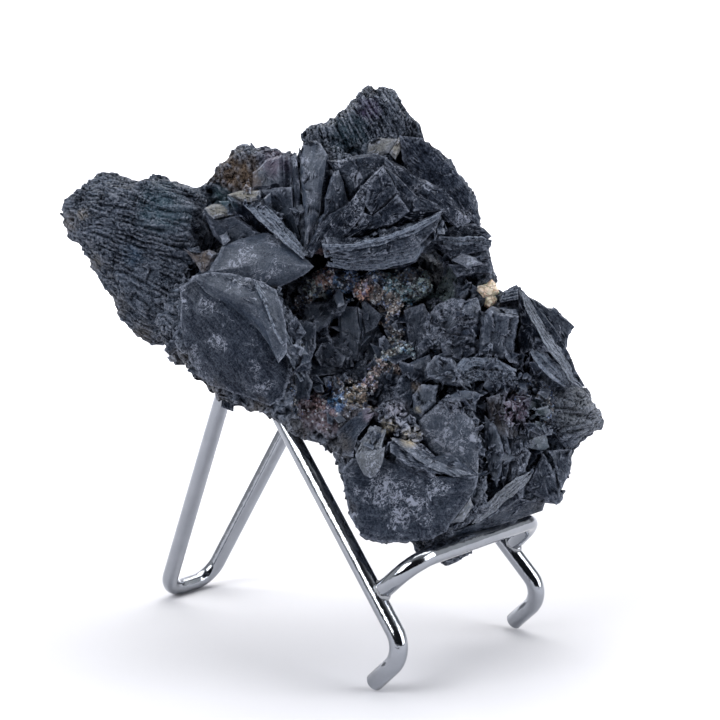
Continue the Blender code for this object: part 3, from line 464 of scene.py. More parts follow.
def fall_off(sheet, uneven, right, up, radius):
    """1 at a spot's middle to 0 past its radius, with an uneven edge."""
    gap = np.hypot(sheet[:, 0] - right, sheet[:, 1] - up) / (radius * uneven)
    return np.clip(1.5 * (1 - gap), 0, 1)


def tint_at(sheet):
    """Local stain colour and its strength at sheet places."""
    result, uneven = np.zeros((len(sheet), 4)), unevenness(sheet)
    for right, up, radius, colour, strength in STAINS:
        share = strength * fall_off(sheet, uneven, right, up, radius)
        stronger = share > result[:, 3]
        result[stronger, :3] = linear(colour)
        result[stronger, 3] = share[stronger]
    return result


def dust_at(sheet):
    """How much the local blooms add to the dusting."""
    total, uneven = np.zeros(len(sheet)), unevenness(sheet)
    for right, up, radius, amount in BLOOMS:
        total = np.maximum(total, amount * fall_off(sheet, uneven, right, up, radius))
    return total


# The large blades by group: outline on the sheet in mm; near, or how proud of the rock it is (rise); lean
# (how much nearer per mm to the right and up); front and back thickness; inset, crown and swell of the
# face; how ragged, dusty, bright, rough (relief) and broken it is; and copies, each a step behind the last.
FRONT_BLADES = {
    "lens_lower": dict(outline=[(-32.9, 13.3), (-32.5, 10.3), (-32.7, 6.9), (-32, 3), (-31, 0), (-29, -2.9),
        (-27.1, -4.7), (-23.1, -5.9), (-19.2, -7.3), (-16.3, -8.3), (-13.9, -7), (-12.6, -2.9), (-13, 1),
        (-14.6, 6), (-19, 11.4), (-26, 14.4), (-30.6, 15)], broken=0.08, near=15.5, lean=(0.05, 0.02),
        front=1.1, back=2.5, inset=0.86, crown=3.0, swell=2.2, relief=0.13),
    "lens_upper": dict(outline=[(-30.6, 15.2), (-27.1, 16), (-23.1, 15.7), (-18.2, 14.4), (-15.3, 12.8),
        (-14.2, 9.9), (-13.4, 6), (-13.2, 1.4), (-14.8, -0.6), (-16.4, 2.6), (-18.6, 5.6), (-24.1, 9.6),
        (-28, 12.3)], broken=0.08, near=18.3, lean=(0.08, -0.08), front=0.3, shade=-0.05, back=2.4,
        inset=0.8, crown=1.7, swell=2.0, relief=0.12),
    "upper_lens": dict(outline=[(-27.6, 16), (-25.8, 19.2), (-25.1, 20.7), (-22.1, 21.9), (-18.7, 22.9),
        (-16.7, 23.2), (-13.8, 21.7), (-10.8, 19.4), (-8.3, 17), (-10.4, 15.3), (-14.3, 13.4), (-20, 12.6)],
        broken=0.08, near=11.8, lean=(0.02, -0.26), front=0.8, inset=0.9, crown=2.4, swell=2.0, dust=0.45,
        shade=0.3),
    "brown_flake": dict(outline=[(-32, 20.2), (-30, 19.4), (-27.1, 20.2), (-25.8, 19.4), (-27.1, 16.7),
        (-28.5, 15.7), (-30, 17.7)], near=10, lean=(0.1, -0.1), front=0.5, inset=0.85,
        tint=("#5d5148", 0.7), ragged=0.35),
    "gap_plate": dict(outline=[(-12.4, -2.4), (-10, -1.6), (-8.6, -4), (-9.2, -7), (-12, -8)], near=9.5,
        lean=(0.2, 0), back=5)}

FAN_BLADES = {
    "left_top": dict(outline=[(-28.3, 27.6), (-26.6, 28.4), (-24.4, 28.3), (-22.9, 26.5), (-26.7, 25.6)],
        near=9.6, lean=(0.1, -0.8), tint=("#777469", 0.6), dust=0.7),
    "left_face": dict(outline=[(-28.4, 26.6), (-26.7, 25.5), (-22.9, 26.4), (-20, 24.4), (-18, 23),
        (-21, 21), (-24.5, 20.6), (-26.6, 22.5)], near=9.2, lean=(0.25, 0.3), back=4, dust=0.3),
    # A painted glint: heavy pale dust and a raised shade make this small facet pale as a glint.
    "left_glint": dict(outline=[(-25.6, 22.6), (-24.2, 23.4), (-23.6, 21.8), (-24.8, 20.8)], rise=0.8,
        lean=(0.4, -0.7), dust=1.6, shade=0.5),
    "slab_top": dict(outline=[(-24.2, 30), (-22, 30.8), (-18.2, 30.8), (-18.4, 29.1), (-21, 28.7)],
        near=10.6, lean=(0.05, -0.8), tint=("#7d796d", 0.6), dust=0.7),
    # slab_front and shaded_curve face away from the light, and their low shade is painted shade.
    "slab_front": dict(outline=[(-24.2, 29.8), (-21.2, 28.7), (-17.6, 25), (-13.4, 21.2), (-14.4, 20.4),
        (-17, 22.6), (-20.6, 24), (-22.8, 26.4)], near=8.6, lean=(-0.3, 0.45), back=4, shade=-0.4,
        dust=0.1),
    "shaded_curve": dict(outline=[(-18.2, 30.9), (-15, 31.4), (-12.3, 31.4), (-11.8, 26.5), (-10.4, 21),
        (-12.6, 23), (-14.9, 25.7)], near=7.4, lean=(0.35, 0.35), back=5, shade=-0.4, dust=0.05),
    "block_left": dict(outline=[(-19.5, 31), (-19.5, 34.1), (-18.2, 35.2), (-16.8, 36.6), (-14.1, 37.3),
        (-13.9, 31.1)], near=6.2, lean=(0.3, -0.05), back=5, dust=0.35),
    "block_right": dict(outline=[(-13.9, 31.1), (-14.1, 37.3), (-12.7, 37.5), (-12.3, 31.2)], near=6.6,
        lean=(-0.7, 0), back=5, shade=-0.2),
    "splinters": dict(outline=[(-12.5, 36.9), (-11.5, 37.3), (-10.8, 31.3), (-10.9, 25.6), (-11.7, 24.6),
        (-12.1, 31.3)], near=8.8, lean=(0.3, 0.05), front=0.5, back=2.5, inset=0.8, copies=1,
        step=(-0.6, -0.3, -0.9), dust=0.7),
    "tall": dict(outline=[(-10.9, 36.9), (-10.4, 39.1), (-8.9, 39.9), (-7.2, 39.3), (-6, 37.4),
        (-6.5, 33.6), (-7, 29.8), (-7.3, 26.5), (-8.5, 23), (-9.5, 19.8), (-10.3, 20.2), (-9.9, 24.2),
        (-10.4, 28.9), (-10.9, 33.2)], near=9.3, lean=(0.12, -0.04), front=1.4, back=5, inset=0.55,
        crown=0.5, dust=0.75, shade=0.2),
    # tall_side is the tall blade's side turned from the light; its low shade is painted shade.
    "tall_side": dict(outline=[(-6.7, 38.2), (-5.6, 37), (-5.2, 33), (-6, 28), (-7.7, 23.6), (-7, 28),
        (-6.5, 33)], near=8, lean=(-1.1, 0), back=4, shade=-0.5, dust=0),
    "tooth": dict(outline=[(-5.5, 32.6), (-4.8, 34.2), (-3.9, 34.5), (-3.1, 32.4), (-2.1, 28.4),
        (-3.6, 26.8), (-6.6, 25.4), (-6.3, 29.8)], near=9.6, lean=(-0.15, 0.05), front=0.7, back=4,
        inset=0.75, crown=0.3, dust=0.5),
    "inner": dict(outline=[(-2.4, 28.2), (-5.4, 26.6), (-7.8, 25), (-8.4, 23), (-10.2, 18.9), (-8.8, 18.6),
        (-6.4, 21.6), (-4, 24.6)], near=11, lean=(0.3, -0.2), back=4, inset=0.75, crown=0.3, dust=0.6),
    "back_facet_pale": dict(outline=[(1.2, 37.6), (1.6, 39.4), (3.4, 40.4), (6.8, 40.2), (5.2, 37.6),
        (3, 36.8)], near=3.6, lean=(0.3, -0.4), back=5, dust=0.5, tint=("#6f6d66", 0.5)),
    "back_facet_right": dict(outline=[(5.3, 37.6), (7, 40.4), (8, 40.4), (7.4, 38.2), (6.4, 36.4)],
        near=3.8, lean=(-0.4, -0.3), back=5, dust=0.9, tint=("#8b867a", 0.6))}

CREST_BLADES = {
    "back_plate": dict(outline=[(7.2, 40.8), (11.1, 40.4), (14.7, 37.2), (17.5, 34.2), (19.7, 30.9),
        (21.4, 26.4), (21.8, 23.6), (18, 25), (13, 30), (7.5, 36.5)], rise=0.4, front=0.5, back=4,
        inset=0.9, crown=0.6, dust=0.1, tint=("#3f4757", 0.4), grain=(-0.5, 1), relief=0.16),
    "rim_left": dict(outline=[(-6, 36.3), (-3.4, 36.4), (-1, 37.2), (2.5, 37.6), (5, 36.8), (4.4, 34.6),
        (2, 33.4), (-0.2, 30.8), (-2.2, 28.6), (-3.6, 32.6)], near=8.5, lean=(0.1, 0.15), back=5, inset=0.8,
        dust=0.35),
    "rim_right": dict(outline=[(4.4, 36.9), (8, 35.1), (10.5, 33.2), (13, 32.2), (15, 31.1), (16.8, 29.4),
        (18.4, 27.2), (20.2, 25.3), (17.8, 24), (15.2, 25.6), (13, 28), (9, 30), (4.6, 33)], near=10,
        lean=(-0.1, 0), front=1.2, back=6, inset=0.8, crown=0.4, dust=0.6, ragged=0.35),
    "pyramid": dict(outline=[(-7, 21.4), (-6.3, 23), (-4.8, 24.5), (-3.4, 26.6), (-1.7, 28.4), (0.2, 31),
        (2.4, 34), (4.2, 35.4), (5.7, 34.4), (8.5, 32.4), (11.6, 29.6), (14, 28.4), (15.3, 27.2),
        (12, 25.4), (8, 24.6), (3, 23.4), (-1, 21.8), (-5, 20.4), (-6.5, 19.4)], near=12, lean=(0, -0.12),
        front=1.6, back=5, inset=0.6, crown=1.0),
    "pyramid_left": dict(outline=[(4.1, 35.3), (2, 33.4), (-0.7, 30.3), (-3.4, 26.6), (-5.9, 23.2),
        (-7, 20.8), (-5, 20.6), (-2, 23.2), (0.6, 26.6), (1.4, 30.4)], near=13.8, lean=(0.35, -0.12),
        front=0.5, back=4, dust=0.75, ragged=0.3),
    "pyramid_middle": dict(outline=[(4.1, 35.2), (5.6, 33.2), (6.9, 30.4), (4.4, 28), (2, 26.4),
        (0.8, 28.6), (1.5, 32)], near=14.9, lean=(-0.1, 0.1), front=0.4, back=4, dust=0.2),
    "pyramid_right": dict(outline=[(4.4, 35.3), (7, 33.2), (10.2, 30), (13.4, 28.6), (15, 27.2), (10, 26.6),
        (5, 26.4), (6.9, 30.2), (5.6, 33.4)], near=13.6, lean=(-0.22, 0.05), front=0.5, back=4, dust=0.35),
    "pyramid_foot": dict(outline=[(0.6, 26.8), (2.2, 26.2), (4.6, 28), (6.8, 30.2), (9, 27), (6, 24.6),
        (2, 23.8), (-1.4, 23)], near=14.6, lean=(0.05, 0.3), front=0.4, back=4, shade=-0.3),
    "bands": dict(outline=[(-6.4, 22.4), (-2.6, 20.8), (4, 22.2), (9, 24), (12, 25.6), (14.9, 27.2),
        (13.9, 24), (10.6, 20.6), (4, 18.8), (-1.2, 18.2), (-5.4, 19.4)], near=14, lean=(0, -0.3),
        front=0.5, back=4, inset=0.85, grain=(1, 0.22), dust=0.35, relief=0.2),
    "overhang": dict(outline=[(-1.8, 21), (-1.9, 18.3), (-1, 17.2), (1, 17), (4, 16.5), (8, 16.9),
        (10.3, 17.8), (11.7, 20), (12.2, 22.2), (8, 23), (2, 22.4)], near=9.5, lean=(0, 0.3), back=6,
        inset=0.8, dust=0.1),
    "notch_left": dict(outline=[(-5, 20.4), (-1.8, 20.8), (-2, 18.8), (-4.6, 18.4), (-6, 19)], near=10.5,
        back=5, inset=0.75),
    "ledge_high": dict(outline=[(13.5, 23.6), (18, 25), (21, 24.8), (22.7, 23.8), (24, 22.5), (23, 21.7),
        (18, 21.4), (14, 22)], near=6.4, lean=(-0.1, -0.25), back=5, crown=0.2, dust=0.4),
    "ledge_middle": dict(outline=[(14.2, 21), (17, 21.6), (21, 21.6), (24, 20.8), (23.2, 19.9), (20, 19.2),
        (16.4, 18.6)], near=7.4, lean=(-0.1, -0.25), back=5, crown=0.2, dust=0.5),
    "ledge_lens": dict(outline=[(16.6, 18.2), (18.6, 19.4), (21.4, 18.6), (22.4, 17.4), (19.4, 16.8)],
        near=9, lean=(0, -0.5), back=4, dust=0.9, shade=0.4),
    "ledge_low": dict(outline=[(16, 17.4), (20, 17.8), (23.8, 18.6), (24.2, 17), (24, 15.6), (20.6, 15.6),
        (17.6, 15)], near=7.5, lean=(-0.1, 0.1), back=5, crown=0.2, dust=0.4)}

RIGHT_BLADES = {
    "big_block": dict(outline=[(22.3, 7.9), (23.8, 9.1), (25.5, 8.7), (28.9, 8.1), (28.4, 4), (27.6, 0.2),
        (24.4, 0.2), (21.6, 1.2), (21.8, 4.8)], near=10, lean=(0.12, 0.22), back=6, inset=0.9,
        grain=(0.1, 1), shade=-0.1, dust=0.15),
    "block_brow": dict(outline=[(22.6, 8.6), (24, 9.8), (28.4, 9.2), (28.9, 8.2), (25.6, 8.6)], near=9.6,
        lean=(0, -0.9), back=4, dust=0.4),
    "gable": dict(outline=[(25.3, 10.9), (26.2, 12.6), (28.6, 13.7), (29.2, 11.2), (28.9, 9.2),
        (26.4, 9.8)], near=6.6, lean=(-0.1, 0.2), back=6, crown=0.2, shade=-0.3),
    "ridge_blade": dict(outline=[(28.5, 13.6), (30.5, 11.8), (32.8, 9.1), (35, 6.4), (37, 3.4), (38.5, 0.2),
        (39.6, -3), (41, -4.9), (39.3, -4.7), (37.2, -3), (35.6, -1), (33.4, 2.2), (31.6, 5), (30.2, 8)],
        near=8, lean=(0.1, 0), front=0.5, back=4, inset=0.8),
    # The ridge's side turned from the light; its low shade is painted shade.
    "ridge_shaded_side": dict(outline=[(28.8, 12.8), (29.6, 10.4), (31.2, 7), (33, 3.8), (34.4, 1.4), (33.2, 1.6),
        (31, 1.8), (29, 0.6), (28.6, 4.4), (29, 8), (28.7, 10.4)], near=8.6, lean=(0.5, 0.05), back=5,
        shade=-0.6, dust=0.1, grain=(-0.5, 1)),
    "back_plate": dict(outline=[(30.5, 11.6), (32, 10.9), (34.3, 9.4), (35.2, 9.8), (37, 8), (39.1, 6),
        (37.9, 4.4), (37.5, 2.1), (35.6, 3.8), (33.2, 7.2)], near=3.4, lean=(-0.1, 0.1), front=0.5, back=4,
        inset=0.93, dust=0.1, shade=-0.1),
    "mottled_block": dict(outline=[(11.8, 6.7), (13.7, 9.8), (16.7, 11.3), (19.4, 10.9), (21.4, 11.5),
        (22, 9.4), (21.5, 6.7), (18.6, 4.4), (14.8, 2.1), (12.3, 3.7)], near=8.8, lean=(0.12, -0.1),
        front=1.2, back=6, inset=0.6, crown=0.5, dust=0.9, relief=0.3, ragged=0.3),
    "mottled_low": dict(outline=[(14.6, 3), (19, 5), (21.2, 4.6), (21.4, 1), (18.4, -0.6), (15.4, 0.8)],
        near=9, lean=(-0.2, 0.25), back=5, relief=0.25, ragged=0.3),
    "chipped_plate": dict(outline=[(12.1, -0.9), (13.7, 0.9), (16.7, 0.3), (17.7, -1.7), (18.8, -4.8),
        (16.7, -4.6), (13.3, -3.8), (12.2, -2.8)], near=12, lean=(0.1, 0.12), inset=0.92, dust=0.15,
        ragged=0.25),
    "small_lens": dict(outline=[(15, -7.2), (17.9, -5.6), (20.5, -5.7), (22.6, -6.4), (20.2, -7.3),
        (16.9, -7.8)], broken=0.08, near=13.6, lean=(0, -0.45), inset=0.7, crown=0.3, shade=0.5),
    "middle_leaf": dict(outline=[(9.6, -6.4), (11.2, -4.4), (14.2, -4.6), (13.7, -7.6), (11.2, -10.4),
        (9.6, -9.5)], near=12.2, lean=(0.3, 0), back=5),
    "middle_plate": dict(outline=[(8.6, -1.6), (11.4, -1), (12, -3.6), (10.4, -6), (9, -9.4), (6, -7),
        (6.8, -3.6)], near=10, lean=(-0.25, 0), back=5, crown=0.2, shade=-0.1),
    "dark_plate": dict(outline=[(10.7, -11), (14.2, -7.9), (18, -8.6), (20.6, -11), (21.8, -14.9),
        (21.5, -20.8), (18.1, -19.8), (14.2, -17.9), (10.7, -14.4)], near=12.6, lean=(0.1, 0.05), back=5,
        crown=0.3, dust=0.9, broken=0.15, relief=0.1),
    "folded_wall": dict(outline=[(22.9, -6.8), (25.4, -6.2), (27.2, -10.6), (27, -14), (25, -13.6),
        (23.4, -10.4)], near=9.4, lean=(0.3, 0), front=0.4, back=0.9, copies=3, step=(0.8, -0.3, -0.7),
        dust=0.5, ragged=0.35, tint=("#54493f", 0.4)),
    "tall_fold": dict(outline=[(22.6, -10), (24.8, -12), (26.2, -16.4), (25.8, -20), (24.9, -23.3),
        (23.2, -19.8), (22.4, -14.9)], near=10, lean=(0.35, 0), front=0.5, back=1.2, copies=2,
        step=(1.2, 0.2, -1.2), dust=0.4),
    "tall_right": dict(outline=[(27.4, -14.6), (29.6, -13.8), (31, -17), (30, -20.4), (27.6, -22),
        (26.8, -18)], near=8.6, lean=(0.1, -0.2), back=5, dust=0.7),
    "grey_plate": dict(outline=[(30.8, -14.6), (33.8, -13.5), (34.6, -15.9), (32.8, -16.6), (30.7, -15.9)],
        rise=1.0, lean=(0, -0.3), shade=0.5, tint=("#4f5b5f", 0.5)),
    "foot_left": dict(outline=[(29.9, -23.3), (31.8, -19.6), (33.3, -16.9), (35, -19.8), (36.8, -25.2),
        (35.8, -26.4), (33.8, -25.9)], near=5.2, lean=(-0.15, 0.1), front=0.5, back=4, inset=0.92, dust=0.1,
        shade=-0.2),
    "foot_right": dict(outline=[(34, -16.4), (38.6, -16.2), (38.4, -19.8), (36.6, -23.6), (35.2, -18.4)],
        rise=0.7, lean=(0.2, 0), front=0.4, inset=0.92)}

BOTTOM_BLADES = {
    "bottom_plate": dict(outline=[(-3.3, -20), (-1.5, -17.9), (4.4, -17.8), (9, -19.6), (11.2, -21),
        (18.1, -21.3), (21.5, -21), (21.2, -23), (19.1, -26.4), (16.6, -29.6), (15.7, -31.2), (13, -32.6),
        (8, -33.1), (3.4, -33.1), (0.4, -32), (-1.8, -28.7), (-2.7, -24.3)], broken=0.08, rise=1.2, back=6,
        inset=0.9, crown=0.5, dust=0.5, relief=0.12),
    "hole_cover": dict(outline=[(20.4, -22.4), (24, -22), (28, -19.6), (30.6, -20.4), (29.6, -25),
        (26, -27.6), (22, -29.2), (20.2, -27)], near=7.6, lean=(0.1, -0.1), back=7, dust=0.2, relief=0.2),
    "bottom_lens": dict(outline=[(-0.9, -17.2), (0.8, -16.6), (3.2, -16.3), (4.5, -15.8), (4.4, -17.6),
        (3.8, -19.4), (2.8, -21), (1.9, -21.5), (0.8, -20.9), (-0.2, -19.3)], broken=0.08, near=23.2,
        lean=(0.1, -0.1), front=0.7, inset=0.7, crown=0.5, dust=0.5, shade=0.1, relief=0.12, grain=(0.2, 1),
        tint=("#565753", 0.35)),
    "left_shoulder": dict(outline=[(-4.2, -13), (-1, -10.2), (2.6, -9.6), (1.6, -11.7), (-0.3, -14),
        (-1.2, -17.6), (-3.4, -17.6)], rise=1.0, lean=(0.35, 0), dust=0.35),
    "cross_plate": dict(outline=[(5.8, -14), (9.5, -14.8), (13.3, -17.6), (16.6, -17.2), (21.6, -20.9),
        (17, -20.8), (12.7, -20.6), (8, -18.9), (5.5, -16.8)], rise=1.7, lean=(0, 0.3), front=0.4, back=5,
        dust=0.2, ragged=0.35, broken=0.7),
    "cross_edge": dict(outline=[(5.6, -14.2), (9.4, -15.4), (13.2, -18.2), (19, -20.4), (21.6, -21.2),
        (17, -21.2), (12.6, -19.6), (8.6, -16.8)], rise=2.1, lean=(0, -0.3), front=0.3, back=0.8, dust=0.8,
        shade=0.2, ragged=0.4),
    "cross_small": dict(outline=[(6.6, -17.6), (11.8, -19), (14, -21.4), (10.2, -22), (6.2, -20.2)],
        rise=1.6, lean=(0.2, 0.3), front=0.4, back=4, shade=-0.2, dust=0.3, ragged=0.35),
    "spur_edges": dict(outline=[(8.6, -13.8), (11.2, -15.2), (13.8, -17.6), (13.2, -18.4), (10.4, -16.8),
        (7.6, -14.8)], near=16, lean=(0, -0.3), front=0.3, back=0.7, copies=2, step=(-0.4, -0.7, -0.5),
        dust=0.6),
    "grey_triangle": dict(outline=[(16.6, -29.6), (20.1, -24.9), (20.5, -26.4), (18.8, -29.4)], rise=0.6,
        lean=(0.2, -0.2), shade=0.7, tint=("#5d6061", 0.5)),
    "low_face": dict(outline=[(21.6, -29.4), (28.6, -25), (33.6, -26), (33.2, -27.4), (28.9, -28.9),
        (24, -30.3), (16.2, -32.6), (16.8, -31.2)], rise=0.6, lean=(0, -0.2), front=0.5, dust=0.4)}

HOLLOW_BLADES = {
    "fin": dict(outline=[(-3.8, 8.6), (-2.4, 9.8), (-0.4, 9.6), (0.2, 4), (-0.3, 0.2), (-2, 0.6),
        (-3.6, 3)], near=1.6, lean=(0.35, 0), front=0.4, back=7, dust=0.35, shade=0.1),
    "fin_edge": dict(outline=[(-0.4, 9.6), (0.3, 9.2), (0.9, 4), (0.2, -0.4), (-0.4, 0.6), (0.1, 4)],
        near=2.2, lean=(-0.6, 0), front=0.3, back=5, shade=-0.3),
    "left_plate": dict(outline=[(-10, 10), (-6.6, 10.8), (-4.4, 9.2), (-6, 6.2), (-8.6, 5), (-10.4, 7)],
        near=2.4, lean=(-0.2, -0.2), front=0.4, back=8, dust=0.15),
    "top_plate": dict(outline=[(-6.5, 10.2), (-4.6, 11.9), (-2.2, 10.6), (-2.8, 8.8), (-5.2, 8.4)],
        near=3.2, lean=(0, -0.3), front=0.4, back=8),
    "triangle": dict(outline=[(0.2, 10.4), (0.8, 11), (4, 8), (3, 6), (1, 4.8)], near=2.2, lean=(0.25, 0.1),
        front=0.4, back=8),
    "right_plate": dict(outline=[(4.4, 5.4), (6.4, 7), (9.2, 5.6), (9, 2.8), (6, 2.4)], near=3,
        lean=(-0.2, 0.2), front=0.4, back=7, dust=0.2),
    "low_plates": dict(outline=[(-7.8, 2.8), (-5.6, 3.4), (-2.6, 0.6), (-3.4, -1.4), (-6.4, -1)], near=2.8,
        lean=(0.2, -0.35), front=0.4, back=2, copies=2, step=(1.4, 0.9, -1.2), dust=0.2),
    "tooth": dict(outline=[(-11, 7.4), (-8, 6.6), (-8, 2), (-9.2, -0.6), (-10.6, 1), (-11.2, 4)], near=8.4,
        lean=(0.15, 0), front=0.5, back=10, dust=0.2),
    "right_wall": dict(outline=[(8, 9), (11.6, 10.4), (13.6, 6), (12.6, 1.4), (9.4, -1), (8.6, 4)],
        near=5.4, lean=(0.4, 0.1), front=0.5, back=9, dust=0.2, relief=0.25),
    "right_wall_low": dict(outline=[(8, -1), (12.6, 1), (14, -2.4), (11, -5), (7.4, -4)], near=8.4,
        lean=(0.3, -0.2), front=0.5, back=9, dust=0.2, relief=0.25),
    "middle_wall": dict(outline=[(-0.4, 8), (3, 7), (5.4, 2), (3, -1.4), (0.4, 0)], near=0.4,
        lean=(-0.3, 0.1), front=0.4, back=5, dust=0.15, relief=0.2),
    "left_fin": dict(outline=[(-8.4, 5.6), (-6.6, 6.4), (-5, 3.6), (-5.2, 0.8), (-7.6, 1.8)], near=1.2,
        lean=(0.4, 0), front=0.4, back=6, dust=0.15),
    "floor": dict(outline=[(-9.6, -0.6), (-4, 1), (1, 1.4), (3.6, 0.6), (2, -3), (-1, -5.4), (-5, -6.6),
        (-9.6, -5)], near=3.2, lean=(0, -0.4), back=6, dust=0.3, shade=-0.2, broken=1.3, relief=0.5,
        ragged=0.5),
    "floor_right": dict(outline=[(1.4, -3.4), (4.6, -2.2), (7.4, -2.8), (7.2, -7), (4, -8.6), (0.8, -7.6)],
        near=6.4, lean=(0.2, -0.2), back=6, dust=0.3, shade=-0.2, broken=1.0, relief=0.4, ragged=0.4),
    "back_wall": dict(outline=[(-4, 4.4), (2, 4.8), (6, 1.6), (4, -3), (-2, -4.4), (-7, -3.4), (-8, 0)],
        near=-2, lean=(0, -0.2), front=0.5, back=5, relief=0.3)}


# Layered edges by group: the near line and the far line of a bundle of thin plates, as sheet places.
LAYERED = {
    "front": dict(lens=dict(inner=[(-19.6, 14.6, 19.2), (-17.6, 10.4, 20.6), (-15.6, 5, 20.4),
        (-13, 0.2, 18.6), (-10.9, -4, 15.6)], outer=[(-19.2, 15.8, 17), (-15.4, 12.2, 15.4),
        (-12, 5.4, 14.6), (-10.2, 1, 13.6), (-8.9, -3.2, 11.6)], layers=7, dust=0.5)),
    "fan": dict(slab=dict(inner=[(-21.4, 28.4, 11.6), (-18.2, 25.2, 12.8), (-13.6, 21, 13.8),
        (-10.4, 18.4, 13.4)], outer=[(-18.4, 29.4, 9.6), (-14.9, 26, 10.6), (-12.2, 23, 11.2),
        (-9, 19, 11.6)], layers=5, dust=0.5)),
    "crest": dict(bands=dict(inner=[(-7, 21.2, 15.4), (-2.4, 21, 16.2), (4, 22.4, 16.2), (9.4, 24.4, 15.6),
        (14.6, 26.8, 14.4)], outer=[(-6, 17, 11.4), (-1.4, 16.2, 10.4), (4, 16.4, 9.8), (10, 18, 9.4),
        (13.4, 22.4, 9.4)], layers=9, dust=0.3, ragged=0.32), ledges=dict(inner=[(14.4, 22.6, 8.4),
        (18, 22.4, 8.6), (22, 22.6, 7.6), (24, 21.8, 6.4)], outer=[(14.6, 20.6, 7.4), (18, 20.2, 7.4),
        (22, 20.6, 6.6), (23.8, 20.4, 5.6)], layers=3, dust=0.5, ragged=0.3)),
    "right": dict(ridge=dict(inner=[(28.9, 12.8, 9.8), (30.2, 9.1, 10.8), (32, 5.8, 11.2),
        (34.2, 1.8, 11.4), (36.4, -1.1, 11.4), (38.2, -4, 10.8), (40, -5.1, 10)], outer=[(29.1, 13.3, 8.6),
        (30.5, 11.7, 8.4), (32.4, 8.2, 8), (34.5, 4.9, 8), (37.2, 1.8, 8), (39.3, -2.5, 7.6),
        (41.2, -4.9, 6.8)], layers=6, dust=0.85, shade=0.35, tint=("#6b6a68", 0.3)),
        second=dict(inner=[(30.9, 1.4, 10), (32.4, -1.2, 10.6), (34.6, -3.4, 10.6), (37, -4.9, 10)],
        outer=[(31.6, 2.8, 8.6), (34, 1.2, 9), (36.6, -1.4, 9.2), (38.4, -4.2, 8.8)], layers=4, dust=1.0,
        shade=0.2, ragged=0.35), gable=dict(inner=[(25.4, 10.4, 8.6), (28.8, 11, 8.8)],
        outer=[(26.2, 12.6, 6.4), (28.7, 13.5, 6.6)], layers=4, dust=0.2, shade=-0.2),
        folds=dict(inner=[(13.8, -3.4, 12.8), (19, 0.4, 11.4), (24.2, 0.6, 11.2), (28.4, -1.6, 10.6)],
        outer=[(19.4, -4.4, 11), (22, -3.6, 10.2), (25.4, -4.6, 9.8), (28.8, -4.4, 9.6)], layers=6,
        dust=0.6, ragged=0.4)),
    "bottom": dict(fan=dict(inner=[(4.8, -12.6, 18.2), (4.2, -14.8, 20.8), (3.6, -17.4, 22.4)],
        outer=[(2, -11.6, 17.2), (0.6, -14.4, 20.2), (-0.8, -17.2, 20.8)], layers=7, dust=0.6, shade=0.3,
        tint=("#6a675f", 0.4)), strip=dict(inner=[(31, -20.2, 9.8), (28.4, -21.3, 10.8), (25, -24.1, 11.4),
        (22.4, -26.7, 11.8), (19.8, -29.4, 12.2)], outer=[(31.2, -21.2, 8), (29.6, -23.3, 8.4),
        (26.8, -25.4, 9), (24, -27.9, 9.6), (21, -30, 10.4)], layers=5, dust=0.8, shade=0.4,
        tint=("#6d6d68", 0.4))),
}


def add_blades(slabs, surface, blades, seed, **common):
    """Add each named blade and the parallel copies behind it; common values hold for the whole group."""
    for number, values in enumerate(blades.values()):
        values = {**common, **values}
        copies, step = values.pop("copies", 0), np.array(values.pop("step", (0, 0, 0)), dtype=float)
        outline = np.array(values.pop("outline"), dtype=float)
        near, lean = seat_of(surface, outline, values.pop("near", None), values.pop("rise", 0),
                             values.pop("lean", (0, 0)))
        for copy in range(copies + 1):
            add_blade(slabs, outline + copy * step[:2], near=near + copy * step[2], lean=lean,
                      seed=seed + 10 * number + copy, **values)


def seat_of(surface, outline, near, rise, lean):
    """A blade's nearness and lean; one without its own nearness lies on the solid, proud by rise."""
    if near is not None:
        return near, lean
    corners = np.array(outline, dtype=float)
    middle = corners.mean(axis=0)
    spots = np.concatenate([middle + (corners - middle) * share for share in (0.3, 0.6, 0.85)])
    seen = [(*(spot - middle), 1.0, sight(surface, spot)) for spot in spots]
    seen = np.array([row for row in seen if row[3] is not None], dtype=float)
    for _ in range(2):
        slope = np.linalg.lstsq(seen[:, :3], seen[:, 3], rcond=None)[0]
        miss = np.abs(seen[:, :3] @ slope - seen[:, 3])
        seen = seen[miss <= max(1.0, 2 * np.median(miss))]
    return slope[2] + rise, tuple(np.clip(slope[:2] + 0.5 * np.array(lean), -0.9, 0.9))


def solid_surface():
    """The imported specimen, ready for sight lines."""
    source = frame["nodes"]["specimen"].data
    return BVHTree.FromPolygons(mesh_places(source).tolist(), [tuple(p.vertices) for p in source.polygons])


def sight(surface, spot):
    """How near the solid is where a sheet place's sight line meets it, or None if it misses."""
    eye = Vector(EYE * MM + SHIFT)
    target = Vector(to_space([(*spot, 0.0)])[0])
    place = surface.ray_cast(eye, (target - eye).normalized())[0]
    return None if place is None else to_sheet(np.array([place]))[0, 2]


# ---------------------------------------------------------------- the matrix rock

# Combed parts of the rock: outline, and the place that the ridges fan out from.
COMBED = {
    "left": dict(outline=[(-58, 28), (-52, 37), (-38, 37), (-27.6, 30), (-28.4, 22), (-31, 17), (-33.4, 12),
        (-34, 7), (-37, 0), (-48, 4), (-56, 15)], pivot=(-102, 43)),
    "top": dict(outline=[(-12, 44), (-12, 37.4), (-4, 38), (3, 39.6), (9, 41.4), (14, 40), (12, 50),
        (0, 52)], pivot=(-33, 116)),
    "right": dict(outline=[(33.6, -4), (33.6, -8), (35, -13), (38, -17), (48, -17), (48, -3)],
        pivot=(51, -9.8)),
}


